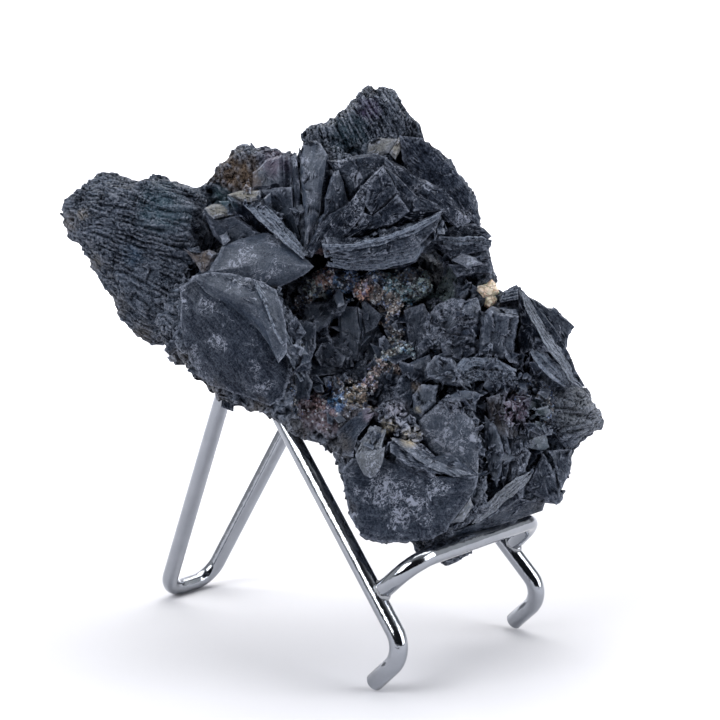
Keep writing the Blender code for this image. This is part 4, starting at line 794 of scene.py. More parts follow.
def in_outline(sheet, outline, growth=1.0):
    """Which sheet places fall inside an outline scaled about its middle."""
    corners = np.array(outline, dtype=float)
    middle = corners.mean(axis=0)
    corners = middle + (corners - middle) * growth
    inside = np.zeros(len(sheet), dtype=bool)
    for (x1, y1), (x2, y2) in zip(corners, np.roll(corners, -1, axis=0)):
        spans = (y1 > sheet[:, 1]) != (y2 > sheet[:, 1])
        if y1 != y2:
            inside ^= spans & (sheet[:, 0] < (x2 - x1) * (sheet[:, 1] - y1) / (y2 - y1) + x1)
    return inside


def comb_cover(sheet):
    """Where the combed parts are, the ridges' direction there, and places along and across them."""
    cover = np.zeros(len(sheet))
    angle = 2 * math.pi * flat_noise(sheet[:, :2], 9.0, 77)
    along = sheet.copy()
    for comb in COMBED.values():
        inside = in_outline(sheet, comb["outline"])
        cover[inside] = 1
        arm = np.mean(comb["outline"], axis=0) - comb["pivot"]
        reach = np.linalg.norm(arm)
        gap = sheet[:, :2] - comb["pivot"]
        turn = np.arctan2(gap @ (-arm[1], arm[0]), gap @ arm)
        bend = math.atan2(arm[1], arm[0]) + turn + 0.25 * flat_noise(sheet[:, :2], 2.6, 78)
        angle[inside] = bend[inside]
        along[inside, :2] = np.column_stack((np.linalg.norm(gap, axis=1), reach * turn))[inside]
    return cover, angle, along


def refine_combs(mesh):
    """Split the combed parts' faces in four, so that their ridges can be shaped."""
    build = bmesh.new()
    build.from_mesh(mesh)
    centres = np.array([face.calc_center_median() for face in build.faces])
    combed = comb_cover(to_sheet(centres))[0] > 0
    build.faces.index_update()
    edges = [edge for edge in build.edges if any(combed[face.index] for face in edge.link_faces)]
    bmesh.ops.subdivide_edges(build, edges=edges, cuts=1, use_grid_fill=True)
    build.to_mesh(mesh)
    build.free()


def comb_relief(along):
    """Height in mm of the combed ridges: long, uneven and sharp on top, in two sizes."""
    lines = along * (0.14, 1.0, 0.4)
    lines[:, 1] += 1.3 * smooth_noise(along * (0.1, 0.25, 0.25), 61)
    broad = 1 - 2.4 * np.abs(smooth_noise(lines, 62))
    narrow = 1 - 2.4 * np.abs(smooth_noise(lines * (1.6, 1.7, 1.6), 63))
    return 0.62 * broad + 0.32 * narrow + 0.5 * smooth_noise(along * (0.12, 0.3, 0.2), 64)


# The smooth plate behind the crest and the brown lump, where nothing is grown.
CLEAN_PARTS = [
    [(3, 42), (9, 42.6), (16, 40), (21.5, 33), (24.6, 24), (25, 17), (20, 22), (13, 31), (6, 36)],
    [(-30, 27), (-30, 34), (-24, 39), (-17, 38.4), (-13.5, 36), (-19, 31.5), (-24, 30.5)]]

# Where tiny crystals cover the rock itself: the depths of the hollow, and a wall on the right.
DARK_DRUSE = [(-12, 14), (-8, 17), (2, 17), (13, 16), (14, 9), (9, 4), (9, -5), (2, -9), (-6, -13),
              (-13, -9), (-12, 0)]
DRUSE_WALL = [(26.2, -5), (30, -3.8), (33.4, -4.2), (35.4, -6), (35, -11.6), (30.8, -13.4), (27, -11.4)]


def make_rock(settings):
    """The cluster's mass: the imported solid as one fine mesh, its surface broken in crystal facets."""
    source = frame["nodes"]["specimen"].data.copy()
    build = bmesh.new()
    build.from_mesh(source)
    bmesh.ops.remove_doubles(build, verts=build.verts, dist=1e-6)
    build.to_mesh(source)
    build.free()
    rock = remeshed("matrix_rock", source, settings.mesh_pitch)[0]
    mesh = rock.data
    refine_combs(mesh)
    places, normals = mesh_places(mesh), mesh_places(mesh, "normal")
    mm = places / MM
    sheet = to_sheet(places)
    cover, angle, along = comb_cover(sheet)
    coarse = crystal_facets(mm / settings.facet_size, 3) * settings.facet_size * 0.42
    fine = crystal_facets(mm / (settings.facet_size * 0.4), 5) * settings.facet_size * 0.16
    clean = (cover > 0) | np.any([in_outline(sheet, outline) for outline in CLEAN_PARTS], axis=0)
    smooth = np.where(clean, 0.3, 1.0)
    height = np.clip(coarse * smooth + fine, -1.1, 0.45) - 0.45
    height = np.where(cover > 0, 0.3 * coarse + comb_relief(along) - 0.55, height)
    push(mesh, places, normals, height)
    mark_bends(mesh)
    crust_share = np.clip(1.2 - lump_gap(sheet) / 4, 0, 1)
    druse = np.where(in_outline(sheet, DRUSE_WALL), 1.0, crust_share ** 2)
    druse = np.maximum(druse, 0.6 * in_outline(sheet, DARK_DRUSE))
    # Painted shade: the tone is made darker towards the top of the cluster, to offset the light from above.
    painted_top_shade = 0.3 * np.clip((sheet[:, 1] - 28) / 8, 0, 1)
    tint, films = tint_at(sheet), crust_tint(sheet)
    films[:, 3] *= crust_share
    near_crust = crust_share > 0.15
    tint[near_crust] = films[near_crust]
    facing = np.abs(normals @ TOWARD)
    write_attributes(mesh, druse_cover=druse, dusting=0.15 + dust_at(sheet),
                     shade=0.4 * layered_noise(mm / 5, 9) - painted_top_shade, grain=along, tint=tint,
                     comb_cover=cover * np.clip((facing - 0.4) / 0.3, 0, 1),
                     chip_cover=np.where(clean, 0.0, 1.0),
                     lay=np.cos(angle)[:, None] * RIGHT + np.sin(angle)[:, None] * UP)
    soften(mesh, 24)
    return rock


# ---------------------------------------------------------------- scattered crystals

# The kinds of node and the settings that recur.
MATH, VECTOR, RANGE = "ShaderNodeMath", "ShaderNodeVectorMath", "ShaderNodeMapRange"
MIX, BUMP = "ShaderNodeMix", "ShaderNodeBump"
NAMED, RANDOM = "GeometryNodeInputNamedAttribute", "FunctionNodeRandomValue"
SMOOTH = {"interpolation_type": "SMOOTHSTEP"}
COLOURS, FLOATS, VECTORS = [{"data_type": kind} for kind in ("RGBA", "FLOAT", "FLOAT_VECTOR")]
CLAMPED = {"operation": "MULTIPLY", "use_clamp": True}

SCATTER_INPUTS = (
    ("Crystals", "NodeSocketCollection"), ("Finish", "NodeSocketMaterial"), ("Cover", "NodeSocketString"),
    ("Density", "NodeSocketFloat"), ("Spacing", "NodeSocketFloat"), ("Smallest", "NodeSocketFloat"),
    ("Largest", "NodeSocketFloat"), ("Tilt", "NodeSocketFloat"), ("Depth", "NodeSocketFloat"),
    ("Seed", "NodeSocketInt"),
)


def add_node(tree, kind, settings=None, *values, output=0, **inputs):
    """Add a node, or fill one that is there, and give one of its outputs.

    settings: its properties, or just its operation. values go into its inputs in order, inputs by name or
    by number after an i; each is a link, a plain value or a hex colour.
    """
    made = tree.nodes.new(kind) if isinstance(kind, str) else kind
    for name, value in ({"operation": settings} if isinstance(settings, str) else settings or {}).items():
        setattr(made, name, value)
    for name, value in {**{f"i{n}": value for n, value in enumerate(values)}, **inputs}.items():
        socket = made.inputs[int(name[1:]) if name[1:].isdigit() else name.replace("_", " ")]
        if isinstance(value, bpy.types.NodeSocket):
            tree.links.new(value, socket)
        else:
            is_colour = isinstance(value, str) and value.startswith("#")
            socket.default_value = (*linear(value), 1.0) if is_colour else value
    return made.outputs[output] if made.outputs else None


def scatter_tree():
    """Geometry Nodes that grow crystals over a surface, laid along its `lay` directions."""
    tree = bpy.data.node_groups.new("grow_crystals", "GeometryNodeTree")
    tree.interface.new_socket("Surface", in_out="INPUT", socket_type="NodeSocketGeometry")
    for name, kind in SCATTER_INPUTS:
        tree.interface.new_socket(name, in_out="INPUT", socket_type=kind)
    tree.interface.new_socket("Geometry", in_out="OUTPUT", socket_type="NodeSocketGeometry")
    add = functools.partial(add_node, tree)
    given = add("NodeGroupInput").node.outputs
    cover = add(NAMED, FLOATS, Name=given["Cover"])
    points = add("GeometryNodeDistributePointsOnFaces", {"distribute_method": "POISSON"},
                 Mesh=given["Surface"], Distance_Min=given["Spacing"], Density_Max=given["Density"],
                 Density_Factor=cover, Seed=given["Seed"])
    normal = points.node.outputs["Normal"]
    lay = add(NAMED, VECTORS, Name="lay")
    upright = add("FunctionNodeAxesToRotation", {"primary_axis": "Z", "secondary_axis": "X"},
                  Primary_Axis=normal, Secondary_Axis=lay)
    lowest = add(MATH, "MULTIPLY", given["Tilt"], -1.0)
    lean = add(RANDOM, VECTORS, *[add("ShaderNodeCombineXYZ", None, *[tilt] * 3)
                                  for tilt in (lowest, given["Tilt"])], Seed=given["Seed"])
    turned = add("FunctionNodeRotateRotation", {"rotation_space": "LOCAL"}, Rotation=upright,
                 Rotate_By=add("FunctionNodeEulerToRotation", Euler=lean))
    size = add(RANDOM, FLOATS, i2=given["Smallest"], i3=given["Largest"], Seed=given["Seed"], output=1)
    lowered = add("GeometryNodeSetPosition", Geometry=points,
                  Offset=add(VECTOR, "SCALE", normal, Scale=given["Depth"]))
    shade = add(RANDOM, FLOATS, i2=-0.5, i3=0.5, Seed=5, output=1)
    shaded = add("GeometryNodeStoreNamedAttribute", {"data_type": "FLOAT", "domain": "POINT"},
                 Geometry=lowered, Name="shade", Value=shade)
    kinds = add("GeometryNodeCollectionInfo", None, given["Crystals"], Separate_Children=True,
                Reset_Children=True)
    placed = add("GeometryNodeInstanceOnPoints", Points=shaded, Instance=kinds, Pick_Instance=True,
                 Rotation=turned, Scale=size)
    painted = add("GeometryNodeSetMaterial", Geometry=add("GeometryNodeRealizeInstances", Geometry=placed),
                  Material=given["Finish"])
    add("NodeGroupOutput", Geometry=painted)
    return tree


def grow(name, surface, crystals, finish, **settings):
    """Crystals grown over a surface, as one plain mesh; settings are the scatter's inputs."""
    tree = bpy.data.node_groups.get("grow_crystals") or scatter_tree()
    made = link(name, surface.data.copy())
    values = dict(settings, Crystals=crystals, Finish=finish)
    modifier = made.modifiers.new("grow", "NODES")
    modifier.node_group = tree
    for item in tree.interface.items_tree:
        if item.in_out == "INPUT" and item.name in values:
            modifier[item.identifier] = values[item.name]
    flatten(made)
    for crystal in list(crystals.objects):
        bpy.data.objects.remove(crystal)
    bpy.data.collections.remove(crystals)
    return made


def crystal_kinds(name, forms):
    """A hidden collection with one small mesh for each kind of crystal to grow, sizes in mm."""
    kinds = bpy.data.collections.new(name)
    bpy.context.scene.collection.children.link(kinds)
    for number, (places, faces) in enumerate(forms):
        mesh = outward_mesh(f"{name}_{number}", (np.array(places) * MM).tolist(), faces)
        heights = np.array(places)[:, 2]
        # Each crystal's top carries edge wear with a painted highlight, and its lowest part painted shade.
        write_attributes(mesh, grain=np.array(places, dtype=float),
                         wear=0.6 * np.clip(heights / heights.max(), 0, 1) ** 3,
                         cavity=0.8 * np.clip(-heights / abs(heights.min()), 0, 1))
        made = bpy.data.objects.new(mesh.name, mesh)
        made.hide_render = True
        kinds.objects.link(made)
    return kinds


def ridge_form(length, height, width, wave, dice):
    """A wavy shingle-like ridge along X: sharp on top, sloping away below, tapered at both ends."""
    stations, phase = 8, dice.uniform(0, math.tau)
    places = []
    for i in range(stations):
        share = i / (stations - 1)
        taper = max(0.1, math.sin(math.pi * (0.05 + 0.9 * share)) ** 0.7)
        x = length * (share - 0.5)
        y = wave * math.sin(6 * share + phase) + 0.12 * dice.uniform(-1, 1)
        top = height * taper * dice.uniform(0.5, 1.15)
        places += [(x, y - width * 0.6 * taper, -0.4), (x, y + width * 0.1, top * 0.85),
                   (x, y + width * 0.32, top), (x, y + width * 0.4 * taper, -0.4)]
    return places, tube_faces(range(stations), 4)


def plate_form(length, width, thickness, dice):
    """A thin broken crystal plate with bevelled rims, lying flat."""
    count = int(dice.integers(4, 7))
    start = dice.uniform(0, math.tau)
    corners = []
    for i in range(count):
        angle = start + math.tau * (i + dice.uniform(-0.25, 0.25)) / count
        reach = dice.uniform(0.75, 1.1)
        corners.append((reach * length / 2 * math.cos(angle), reach * width / 2 * math.sin(angle)))
    tilt = dice.uniform(-0.25, 0.25)
    places = []
    for scale, rise in ((0.8, thickness / 2), (1, thickness * 0.25), (1, -thickness * 0.3),
                        (0.8, -thickness)):
        places += [(scale * x, scale * y, rise + tilt * x) for x, y in corners]
    return places, tube_faces(range(4), count)


def druse_form(radius, height, sides, dice):
    """A stubby crystal: a prism with a slanted point."""
    places = []
    for z, scale in ((-0.4, 0.8), (height * 0.55, 1.0)):
        for i in range(sides):
            angle = math.tau * i / sides
            places.append((radius * scale * math.cos(angle), radius * scale * math.sin(angle),
                           z * (1 + dice.uniform(-0.15, 0.15))))
    places.append((radius * dice.uniform(-0.35, 0.35), radius * dice.uniform(-0.35, 0.35), height))
    faces = [tuple(reversed(range(sides)))]
    for i in range(sides):
        j = (i + 1) % sides
        faces.append((i, j, sides + j, sides + i))
        faces.append((sides + i, sides + j, 2 * sides))
    return places, faces


# ---------------------------------------------------------------- finishes

def new_finish(name):
    """A node material, its Principled node, and the function that adds nodes to its tree."""
    finish = bpy.data.materials.new(name)
    finish.use_nodes = True
    tree = finish.node_tree
    return finish, tree.nodes["Principled BSDF"], functools.partial(add_node, tree)


def stored(add, name, output="Fac"):
    """A stored attribute's value, vector or colour."""
    return add("ShaderNodeAttribute", {"attribute_name": name}, output=output)


def noise(add, places, scale, detail=3.0, roughness=0.55, distortion=0.0):
    """Noise at places times scale."""
    return add("ShaderNodeTexNoise", None, places, Scale=scale, Detail=detail, Roughness=roughness,
               Distortion=distortion)


def facet_height(add, places, scale):
    """A height that breaks a surface in flat randomly tilted facets."""
    scaled = add(VECTOR, "SCALE", places, Scale=scale)
    cells = add("ShaderNodeTexVoronoi", Vector=scaled, Scale=1.0).node.outputs
    tilt = add(VECTOR, "SUBTRACT", cells["Color"], (0.5, 0.5, 0.5))
    gap = add(VECTOR, "SUBTRACT", scaled, cells["Position"])
    return add(VECTOR, "DOT_PRODUCT", tilt, gap, output="Value")


def in_millimetres(add):
    """Object places in millimetres."""
    return add(VECTOR, "SCALE", add("ShaderNodeTexCoord", output="Object"), Scale=1 / MM)


def dust_pattern(add, places, speck, grit, fleck):
    """Where pale dust lies: ragged flecks, and a web of thin lines, both only in dusty areas."""
    dusting = stored(add, "dusting")
    patches = noise(add, places, 0.3, 2.0)
    area = add(MATH, "MULTIPLY_ADD", add(MATH, "SUBTRACT", patches, 0.5), 0.5,
               add(MATH, "MULTIPLY", dusting, 0.13))
    threshold = add(MATH, "SUBTRACT", 0.7, add(MATH, "MULTIPLY", area, 0.8))
    flecks = noise(add, places, 1 / fleck, 5.0, 0.66, 1.4)
    dusty = add(RANGE, SMOOTH, flecks, threshold, add(MATH, "ADD", threshold, 0.018))
    lines = []
    for scale, width in ((0.35, 0.022), (0.6, 0.032)):
        wave = noise(add, places, scale, 3.0, 0.55, 1.6)
        bend = add(MATH, "ABSOLUTE", add(MATH, "SUBTRACT", wave, 0.5))
        lines.append(add(RANGE, SMOOTH, bend, width, width - 0.014))
    web = add(MATH, "MULTIPLY", add(MATH, "MAXIMUM", *lines), add(RANGE, SMOOTH, area, 0.08, 0.16))
    web = add(MATH, "MULTIPLY", web, add(RANGE, SMOOTH, speck, 0.42, 0.52))
    return add(MATH, "MULTIPLY", add(MATH, "MAXIMUM", dusty, web), add(RANGE, SMOOTH, grit, 0.1, 0.3))


def stone_finish(name, colours, roughness, striae, facets, fleck, mottle):
    """Dark sulphide crystal.

    colours: pit (dark pits, and painted shade in cavities), dark, light, dust and edge (edge wear, and a
    painted highlight on bulges and crests), as hex; striae and facets: how deep, in mm; fleck: the size of
    the dust's flecks in mm; mottle: how uneven the tone is.
    """
    finish, surface, add = new_finish(name)
    pit_and_shade, dark, light, dust, edge = colours
    grain = stored(add, "grain", "Vector")
    tint = stored(add, "tint", "Color")
    shade, wear, cavity = [stored(add, field) for field in ("shade", "wear", "cavity")]
    places = in_millimetres(add)
    fine_lines = noise(add, add(VECTOR, "MULTIPLY", grain, (0.35, 3.6, 1.0)), 1.0, 4.0, 0.7)
    broad_lines = noise(add, add(VECTOR, "MULTIPLY", grain, (0.1, 1.3, 1.0)), 1.0, 2.0, 0.5)
    cloud = noise(add, places, 0.3, 4.0, 0.6)
    speck = noise(add, places, 2.2, 5.0, 0.75)
    grit = noise(add, places, 5.0, 3.0, 0.7)
    crumbs = add(RANGE, SMOOTH, grit, 0.36, 0.64)
    tone = add(MATH, "MULTIPLY_ADD", add(MATH, "SUBTRACT", cloud, 0.5), min(1.0, mottle), 0.5)
    tone = add(MATH, "MULTIPLY_ADD", shade, 0.4, tone)
    for part, weight in ((fine_lines, 12 * striae), (broad_lines, 7 * striae), (speck, 1.6 * mottle),
                         (crumbs, 0.26 * mottle)):
        tone = add(MATH, "MULTIPLY_ADD", add(MATH, "SUBTRACT", part, 0.5), weight, tone)
    dusty = dust_pattern(add, places, speck, grit, fleck)
    stain = add(MATH, "MULTIPLY", tint.node.outputs["Alpha"], add(RANGE, SMOOTH, speck, 0.25, 0.6))
    worn_and_lit = add(MATH, CLAMPED, wear, add(RANGE, SMOOTH, speck, 0.36, 0.58))
    base = add(MIX, COLOURS, add(RANGE, SMOOTH, tone, 0.15, 0.95), i6=dark, i7=light, output=2)
    # Cavities take the pit colour as painted shade; bulges take the edge colour as wear and a painted
    # highlight.
    for share, colour in ((stain, tint), (add(RANGE, SMOOTH, tone, 0.42, 0.05), pit_and_shade),
                          (add(MATH, "MULTIPLY", dusty, 0.8), dust),
                          (add(MATH, "MULTIPLY", worn_and_lit, 0.8), edge),
                          (add(MATH, CLAMPED, cavity, 0.9), pit_and_shade)):
        base = add(MIX, COLOURS, share, i6=base, i7=colour, output=2)
    rough = add(MATH, "MULTIPLY_ADD", dusty, 0.3, roughness)
    rough = add(MATH, {"operation": "MULTIPLY_ADD", "use_clamp": True},
                add(MATH, "SUBTRACT", speck, 0.5), -0.5 * mottle, rough)
    shine = add(MATH, "MULTIPLY", add(RANGE, SMOOTH, tone, 0.2, 0.9), 0.55)
    # Sheen is taken out of cavities as painted shade.
    shine = add(MATH, "MULTIPLY", shine,
                add(MATH, {"operation": "SUBTRACT", "use_clamp": True}, 1.0, cavity))
    height = add(MATH, "MULTIPLY", fine_lines, striae)
    for part, depth in ((broad_lines, striae * 2), (facet_height(add, places, 1.4), facets),
                        (facet_height(add, places, 3.5), facets * 0.4 + 0.03), (speck, 0.16 * mottle),
                        (crumbs, 0.05 * mottle), (dusty, 0.05)):
        height = add(MATH, "MULTIPLY_ADD", part, depth, height)
    add(surface, Base_Color=base, Roughness=rough, Specular_IOR_Level=shine, IOR=1.6,
        Normal=add(BUMP, Height=height, Distance=MM, Strength=1.0))
    return finish


def druse_finish():
    """Tiny tarnished crystals: blue, teal, salmon and olive films, and painted near-white highlights."""
    finish, surface, add = new_finish(FILMS)
    shade = stored(add, "shade")
    tint = stored(add, "tint", "Color")
    places = in_millimetres(add)
    cloud = noise(add, places, 1.4, 3.0, 0.6)
    tone = add(MATH, "ADD", shade, cloud)
    hue = add(MATH, "MULTIPLY_ADD", shade, 0.25, noise(add, places, 0.8, 2.0))
    gloom = noise(add, places, 0.5)
    base = add(MIX, COLOURS, tint.node.outputs["Alpha"], i6="#39404e", i7=tint, output=2)
    # The last entry paints a near-white highlight on the brightest-toned crystals.
    for pattern, low, high, most, colour in ((hue, 0.54, 0.62, 0.6, "#3d69a8"),
                                             (hue, 0.46, 0.38, 0.35, "#a98d80"),
                                             (tone, 0.62, 0.15, 1.0, "#0b0e15"),
                                             (gloom, 0.5, 0.64, 0.4, "#20242e"),
                                             (tone, 0.66, 0.95, 0.7, "#cfd4da")):
        share = add(MATH, "MULTIPLY", add(RANGE, SMOOTH, pattern, low, high), most)
        base = add(MIX, COLOURS, share, i6=base, i7=colour, output=2)
    grain = noise(add, places, 5.0, 2.0)
    add(surface, Base_Color=base, Metallic=0.2, IOR=1.7,
        Roughness=add(MATH, "MULTIPLY_ADD", cloud, 0.4, 0.2),
        Normal=add(BUMP, Height=grain, Distance=0.05 * MM))
    return finish


def cream_finish():
    """Cream calcite: cloudy and slightly see-through at the rim, with rust in its cracks."""
    finish, surface, add = new_finish("cream_calcite_cleaved")
    places = in_millimetres(add)
    cloud = noise(add, places, 0.8, 4.0, 0.6)
    cracks = add("ShaderNodeTexVoronoi", {"feature": "DISTANCE_TO_EDGE"}, Vector=places, Scale=0.8,
                 output="Distance")
    base = add(MIX, COLOURS, add(RANGE, SMOOTH, cloud, 0.3, 0.7), i6="#a5937a", i7="#e4d9c8", output=2)
    rust = add(MATH, "MULTIPLY", add(RANGE, SMOOTH, cracks, 0.09, 0.0), 0.75)
    height = add(MATH, "MULTIPLY_ADD", facet_height(add, places, 0.9), 0.12,
                 add(MATH, "MULTIPLY", cloud, 0.08))
    add(surface, Base_Color=add(MIX, COLOURS, rust, i6=base, i7="#59452f", output=2), Roughness=0.42,
        Subsurface_Weight=0.25, Subsurface_Scale=0.8 * MM,
        Normal=add(BUMP, Height=height, Distance=MM))
    return finish


def chrome_finish(name, clean, smeared, roughness):
    """Chromed steel wire: bright, with the drawn wire's faint waviness and fingerprints."""
    finish, surface, add = new_finish(name)
    places = in_millimetres(add)
    smear = noise(add, places, 0.25, 4.0, 0.6)
    waves = noise(add, places, 0.5)
    add(surface, Base_Color=add(MIX, COLOURS, smear, i6=clean, i7=smeared, output=2), Metallic=1.0,
        Roughness=add(MATH, "MULTIPLY_ADD", add(RANGE, SMOOTH, smear, 0.45, 0.75), 0.12, roughness),
        Normal=add(BUMP, Height=waves, Distance=0.08 * MM))
    return finish


def dress(piece, finish, node):
    """Finish a piece and hand it to the frame."""
    piece.data.materials.clear()
    piece.data.materials.append(finish)
    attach(piece, "root")
    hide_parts(node)


# The three surfaces of the stone. Cleaved planes are almost even and dark with a dull sheen, so that the
# flecks of dust stand out. Broken stone has small tilted facets that catch the light apart, and a mottled
# tone. Combs of thin crystals seen on edge have deep striae, pale on their crests and dark between: the
# pale crests carry edge wear and a painted highlight, and the dark between carries painted shade.
STONE = {
    "berthierite_cleavage": (("#04060b", "#151a25", "#3f4a5b", "#8b91a1", "#818898"), 0.4, 0.03, 0.0, 1.4,
                             0.45),
    "berthierite_fracture": (("#030509", "#0e131c", "#465265", "#8b92a3", "#8a91a1"), 0.48, 0.02, 0.3,
                             1.1, 0.95),
    "berthierite_comb_ridges": (("#030509", "#131b28", "#586579", "#8a91a0", "#99a1b1"), 0.48, 0.16, 0.04,
                                0.8, 0.9)}
FILMS = "tarnished_druse_films"


def stone_materials():
    """The finishes of cleaved, broken and combed stone and of the tarnished druse, made once."""
    held = bpy.data.materials
    if FILMS not in held:
        for name, values in STONE.items():
            stone_finish(name, *values)
        druse_finish()
    return [held[name] for name in (*STONE, FILMS)]


# ---------------------------------------------------------------- the small pieces

# Lumps of the hollow's crust: (right, up, near, radius, colour of the films, their strength).
CRUST = [
    (-10.2, 10.6, 1, 1.9, "#23283c", 0.7), (-8.6, 12.8, 1.2, 2.3, "#a5b3b5", 0.6),
    (-6.4, 14.8, 1.4, 2.4, "#8a6d68", 0.7), (-4, 13.6, 1.2, 2.2, "#5e7c9f", 0.8),
    (-1.6, 14.6, 1.4, 2.2, "#4a648c", 0.8), (0.8, 12.8, 2.6, 2.3, "#a98478", 0.8),
    (2.8, 14.6, 2.4, 2.1, "#5c6f8a", 0.6), (3.4, 11.6, 2.6, 2.2, "#6d6a6c", 0.7),
    (5.6, 13.4, 2.8, 2.4, "#527b88", 0.8), (6, 10.4, 2.8, 2.4, "#8d8582", 0.8),
    (8, 12.4, 3, 2.5, "#5c808c", 0.7), (8.6, 15, 2.2, 2, "#3c4f63", 0.6),
    (11, 13.4, 2.6, 2.4, "#a9bcbd", 0.7), (6, 7.4, 2.4, 2.2, "#a3948a", 0.8),
    (6.2, 5.2, 3, 2.2, "#5d6068", 0.6), (6.4, 3, 4, 2.2, "#3f4f57", 0.6),
    (8.4, 1.4, 5, 2.2, "#7f97a3", 0.8), (5.2, 0.6, 5, 2.2, "#6f7f80", 0.6),
    (3.8, -1.6, 5.2, 2.3, "#8f8284", 0.7), (6, -2, 5.2, 2, "#9a8c8c", 0.7),
    (2.8, -3.8, 6, 2.2, "#8f8a8c", 0.7), (1.6, -4.8, 7.2, 2.1, "#8f7f86", 0.8),
    (0, -6, 8, 2.3, "#85796c", 0.8), (-2, -6.6, 8.6, 2.3, "#787266", 0.8),
    (-4.2, -7.6, 8.8, 2.3, "#4f6d92", 0.8), (-2.2, -9, 8.6, 1.9, "#6a6468", 0.6),
    (-6, -9, 8.6, 2, "#937a7e", 0.7), (-4.8, -4.8, 8, 1.9, "#34323f", 0.7),
]

CREAM_OUTLINES = [
    [(21.2, 12.8), (21.5, 13.5), (23, 13.9), (24, 14.8), (24.6, 14.2), (25.4, 12.2), (24.2, 11.4),
     (22.4, 11.4)],
    [(22.5, 9.8), (23, 11.6), (24.4, 12), (25, 11), (24.9, 10.2), (23.4, 9.2)],
]
CREAM_NEAR = 7.2


def crust_tint(sheet):
    """The film colour of the nearest lump."""
    lumps = np.array([lump[:3] for lump in CRUST])
    colours = np.array([(*np.array(linear(lump[4])) * 1.25, min(1.0, 1.25 * lump[5])) for lump in CRUST])
    wobble = 0.9 * np.column_stack([flat_noise(sheet[:, :2], 0.9, 31 + i) for i in range(3)])
    gaps = np.linalg.norm((sheet + wobble)[:, None, :] - lumps[None], axis=2)
    return colours[np.argmin(gaps, axis=1)]


def lump_gap(sheet):
    """How far each place is from the crust's lumps."""
    gap = np.full(len(sheet), np.inf)
    for right, up, near, radius, _, _ in CRUST:
        gap = np.minimum(gap, np.linalg.norm(sheet - (right, up, near), axis=1) - radius)
    return gap


def make_druse_bed():
    """The crust under the tiny crystals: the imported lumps, finely meshed and pitted."""
    bed, places, normals = remeshed("druse_bed", frame["nodes"]["druse_crust"].data.copy(), 0.35 * MM)
    mesh = bed.data
    height = 0.3 * crystal_facets(places / MM / 0.9, 8) + 1.1 * crystal_facets(places / MM / 2.6, 9)
    height = np.clip(height - 0.25, -1.2, 0.15)
    push(mesh, places, normals, height)
    write_attributes(mesh, shade=0.4 * layered_noise(places / MM / 1.2, 4) - 0.15,
                     tint=crust_tint(to_sheet(places)), druse_cover=np.ones(len(places)),
                     lay=np.tile(RIGHT, (len(places), 1)))
    soften(mesh, 20)
    return bed


def make_cream():
    """The two cream crystals in the saddle, their faces chipped along the rim."""
    slabs = Slabs()
    for number, outline in enumerate(CREAM_OUTLINES):
        add_blade(slabs, outline, CREAM_NEAR - 0.6 * number, front=0.9, back=2.4, inset=0.8, crown=0.2,
                  ragged=0.3, relief=0.34, seed=300 + number)
    return slabs.to_object("cream_crystals", 28)


# ---------------------------------------------------------------- the easel

WIRE_SIDES = 28
# How far from a cut end, in mm, and how thick there as a share.
END_ROUNDING = ((0.0, 0.62), (0.18, 0.86), (0.5, 1.0))
# Half the weld bead's length, depth and width, in mm.
WELD_HALVES = (2.1, 1.0, 1.45)


def bent_path(points, radii, steps):
    """A polyline whose inner corners are rounded with arcs of the given radii."""
    path = [points[0]]
    for i in range(1, len(points) - 1):
        here = points[i]
        back = (points[i - 1] - here).normalized()
        ahead = (points[i + 1] - here).normalized()
        half = back.angle(ahead) / 2
        reach = radii[i - 1] / math.tan(half)
        centre = here + (back + ahead).normalized() * (radii[i - 1] / math.sin(half))
        first = here + back * reach - centre
        last = here + ahead * reach - centre
        sweep = first.angle(last)
        for step in range(steps + 1):
            share = step / steps
            spoke = first * math.sin((1 - share) * sweep) + last * math.sin(share * sweep)
            path.append(centre + spoke / math.sin(sweep))
    path.append(points[-1])
    return path


def wire_object(name, half_path):
    """A round wire, the same on both sides of X = 0, with gently rounded ends."""
    tail = (half_path[-1] - half_path[-2]).normalized()
    for back, _ in END_ROUNDING[:0:-1]:
        half_path.insert(-1, half_path[-1] - tail * back)
    path = [Vector((-p.x, p.y, p.z)) for p in reversed(half_path[1:])] + half_path
    pointer = Vector((0, 0, 1))
    places = []
    for i, here in enumerate(path):
        before, after = path[max(i - 1, 0)], path[min(i + 1, len(path) - 1)]
        tangent = ((here - before).normalized() + (after - here).normalized()).normalized()
        pointer = (pointer - tangent * pointer.dot(tangent)).normalized()
        across = tangent.cross(pointer)
        from_end = min(i, len(path) - 1 - i)
        radius = WIRE_RADIUS * (END_ROUNDING[from_end][1] if from_end < len(END_ROUNDING) else 1.0)
        for angle in (math.tau * side / WIRE_SIDES for side in range(WIRE_SIDES)):
            spoke = pointer * math.cos(angle) + across * math.sin(angle)
            places.append(Vector(SHIFT) + MM * (here + radius * spoke))
    mesh = outward_mesh(name, places, tube_faces(range(len(path)), WIRE_SIDES))
    soften(mesh, 50)
    return link(name, mesh)


def frame_path(steps):
    """Half of the long wire, from the middle of the rear bend to the right foot's end."""
    slope = math.atan2(FOOT_CORNER.z - WIRE_RADIUS, FOOT_END_Y)
    foot_end = Vector((FOOT_CORNER.x, FOOT_END_Y, WIRE_RADIUS * math.cos(slope)))
    points = [Vector((0, REAR_BEND.y, WIRE_RADIUS)), Vector((REAR_BEND.x, REAR_BEND.y, WIRE_RADIUS)),
              TOP_CORNER, FOOT_CORNER, foot_end]
    return bent_path(points, [BEND_RADII["rear"], BEND_RADII["top"], BEND_RADII["foot"]], steps)


def ledge_path(steps):
    """Half of the ledge's wire, from its middle to the weld on the right upright."""
    joint = TOP_CORNER.lerp(FOOT_CORNER, LEDGE_JOINT)
    end = joint - (joint - LEDGE_CORNER).normalized() * (WIRE_RADIUS * 0.9)
    points = [Vector((0, LEDGE_CORNER.y, LEDGE_CORNER.z)), LEDGE_CORNER, end]
    return bent_path(points, [BEND_RADII["ledge"]], steps)


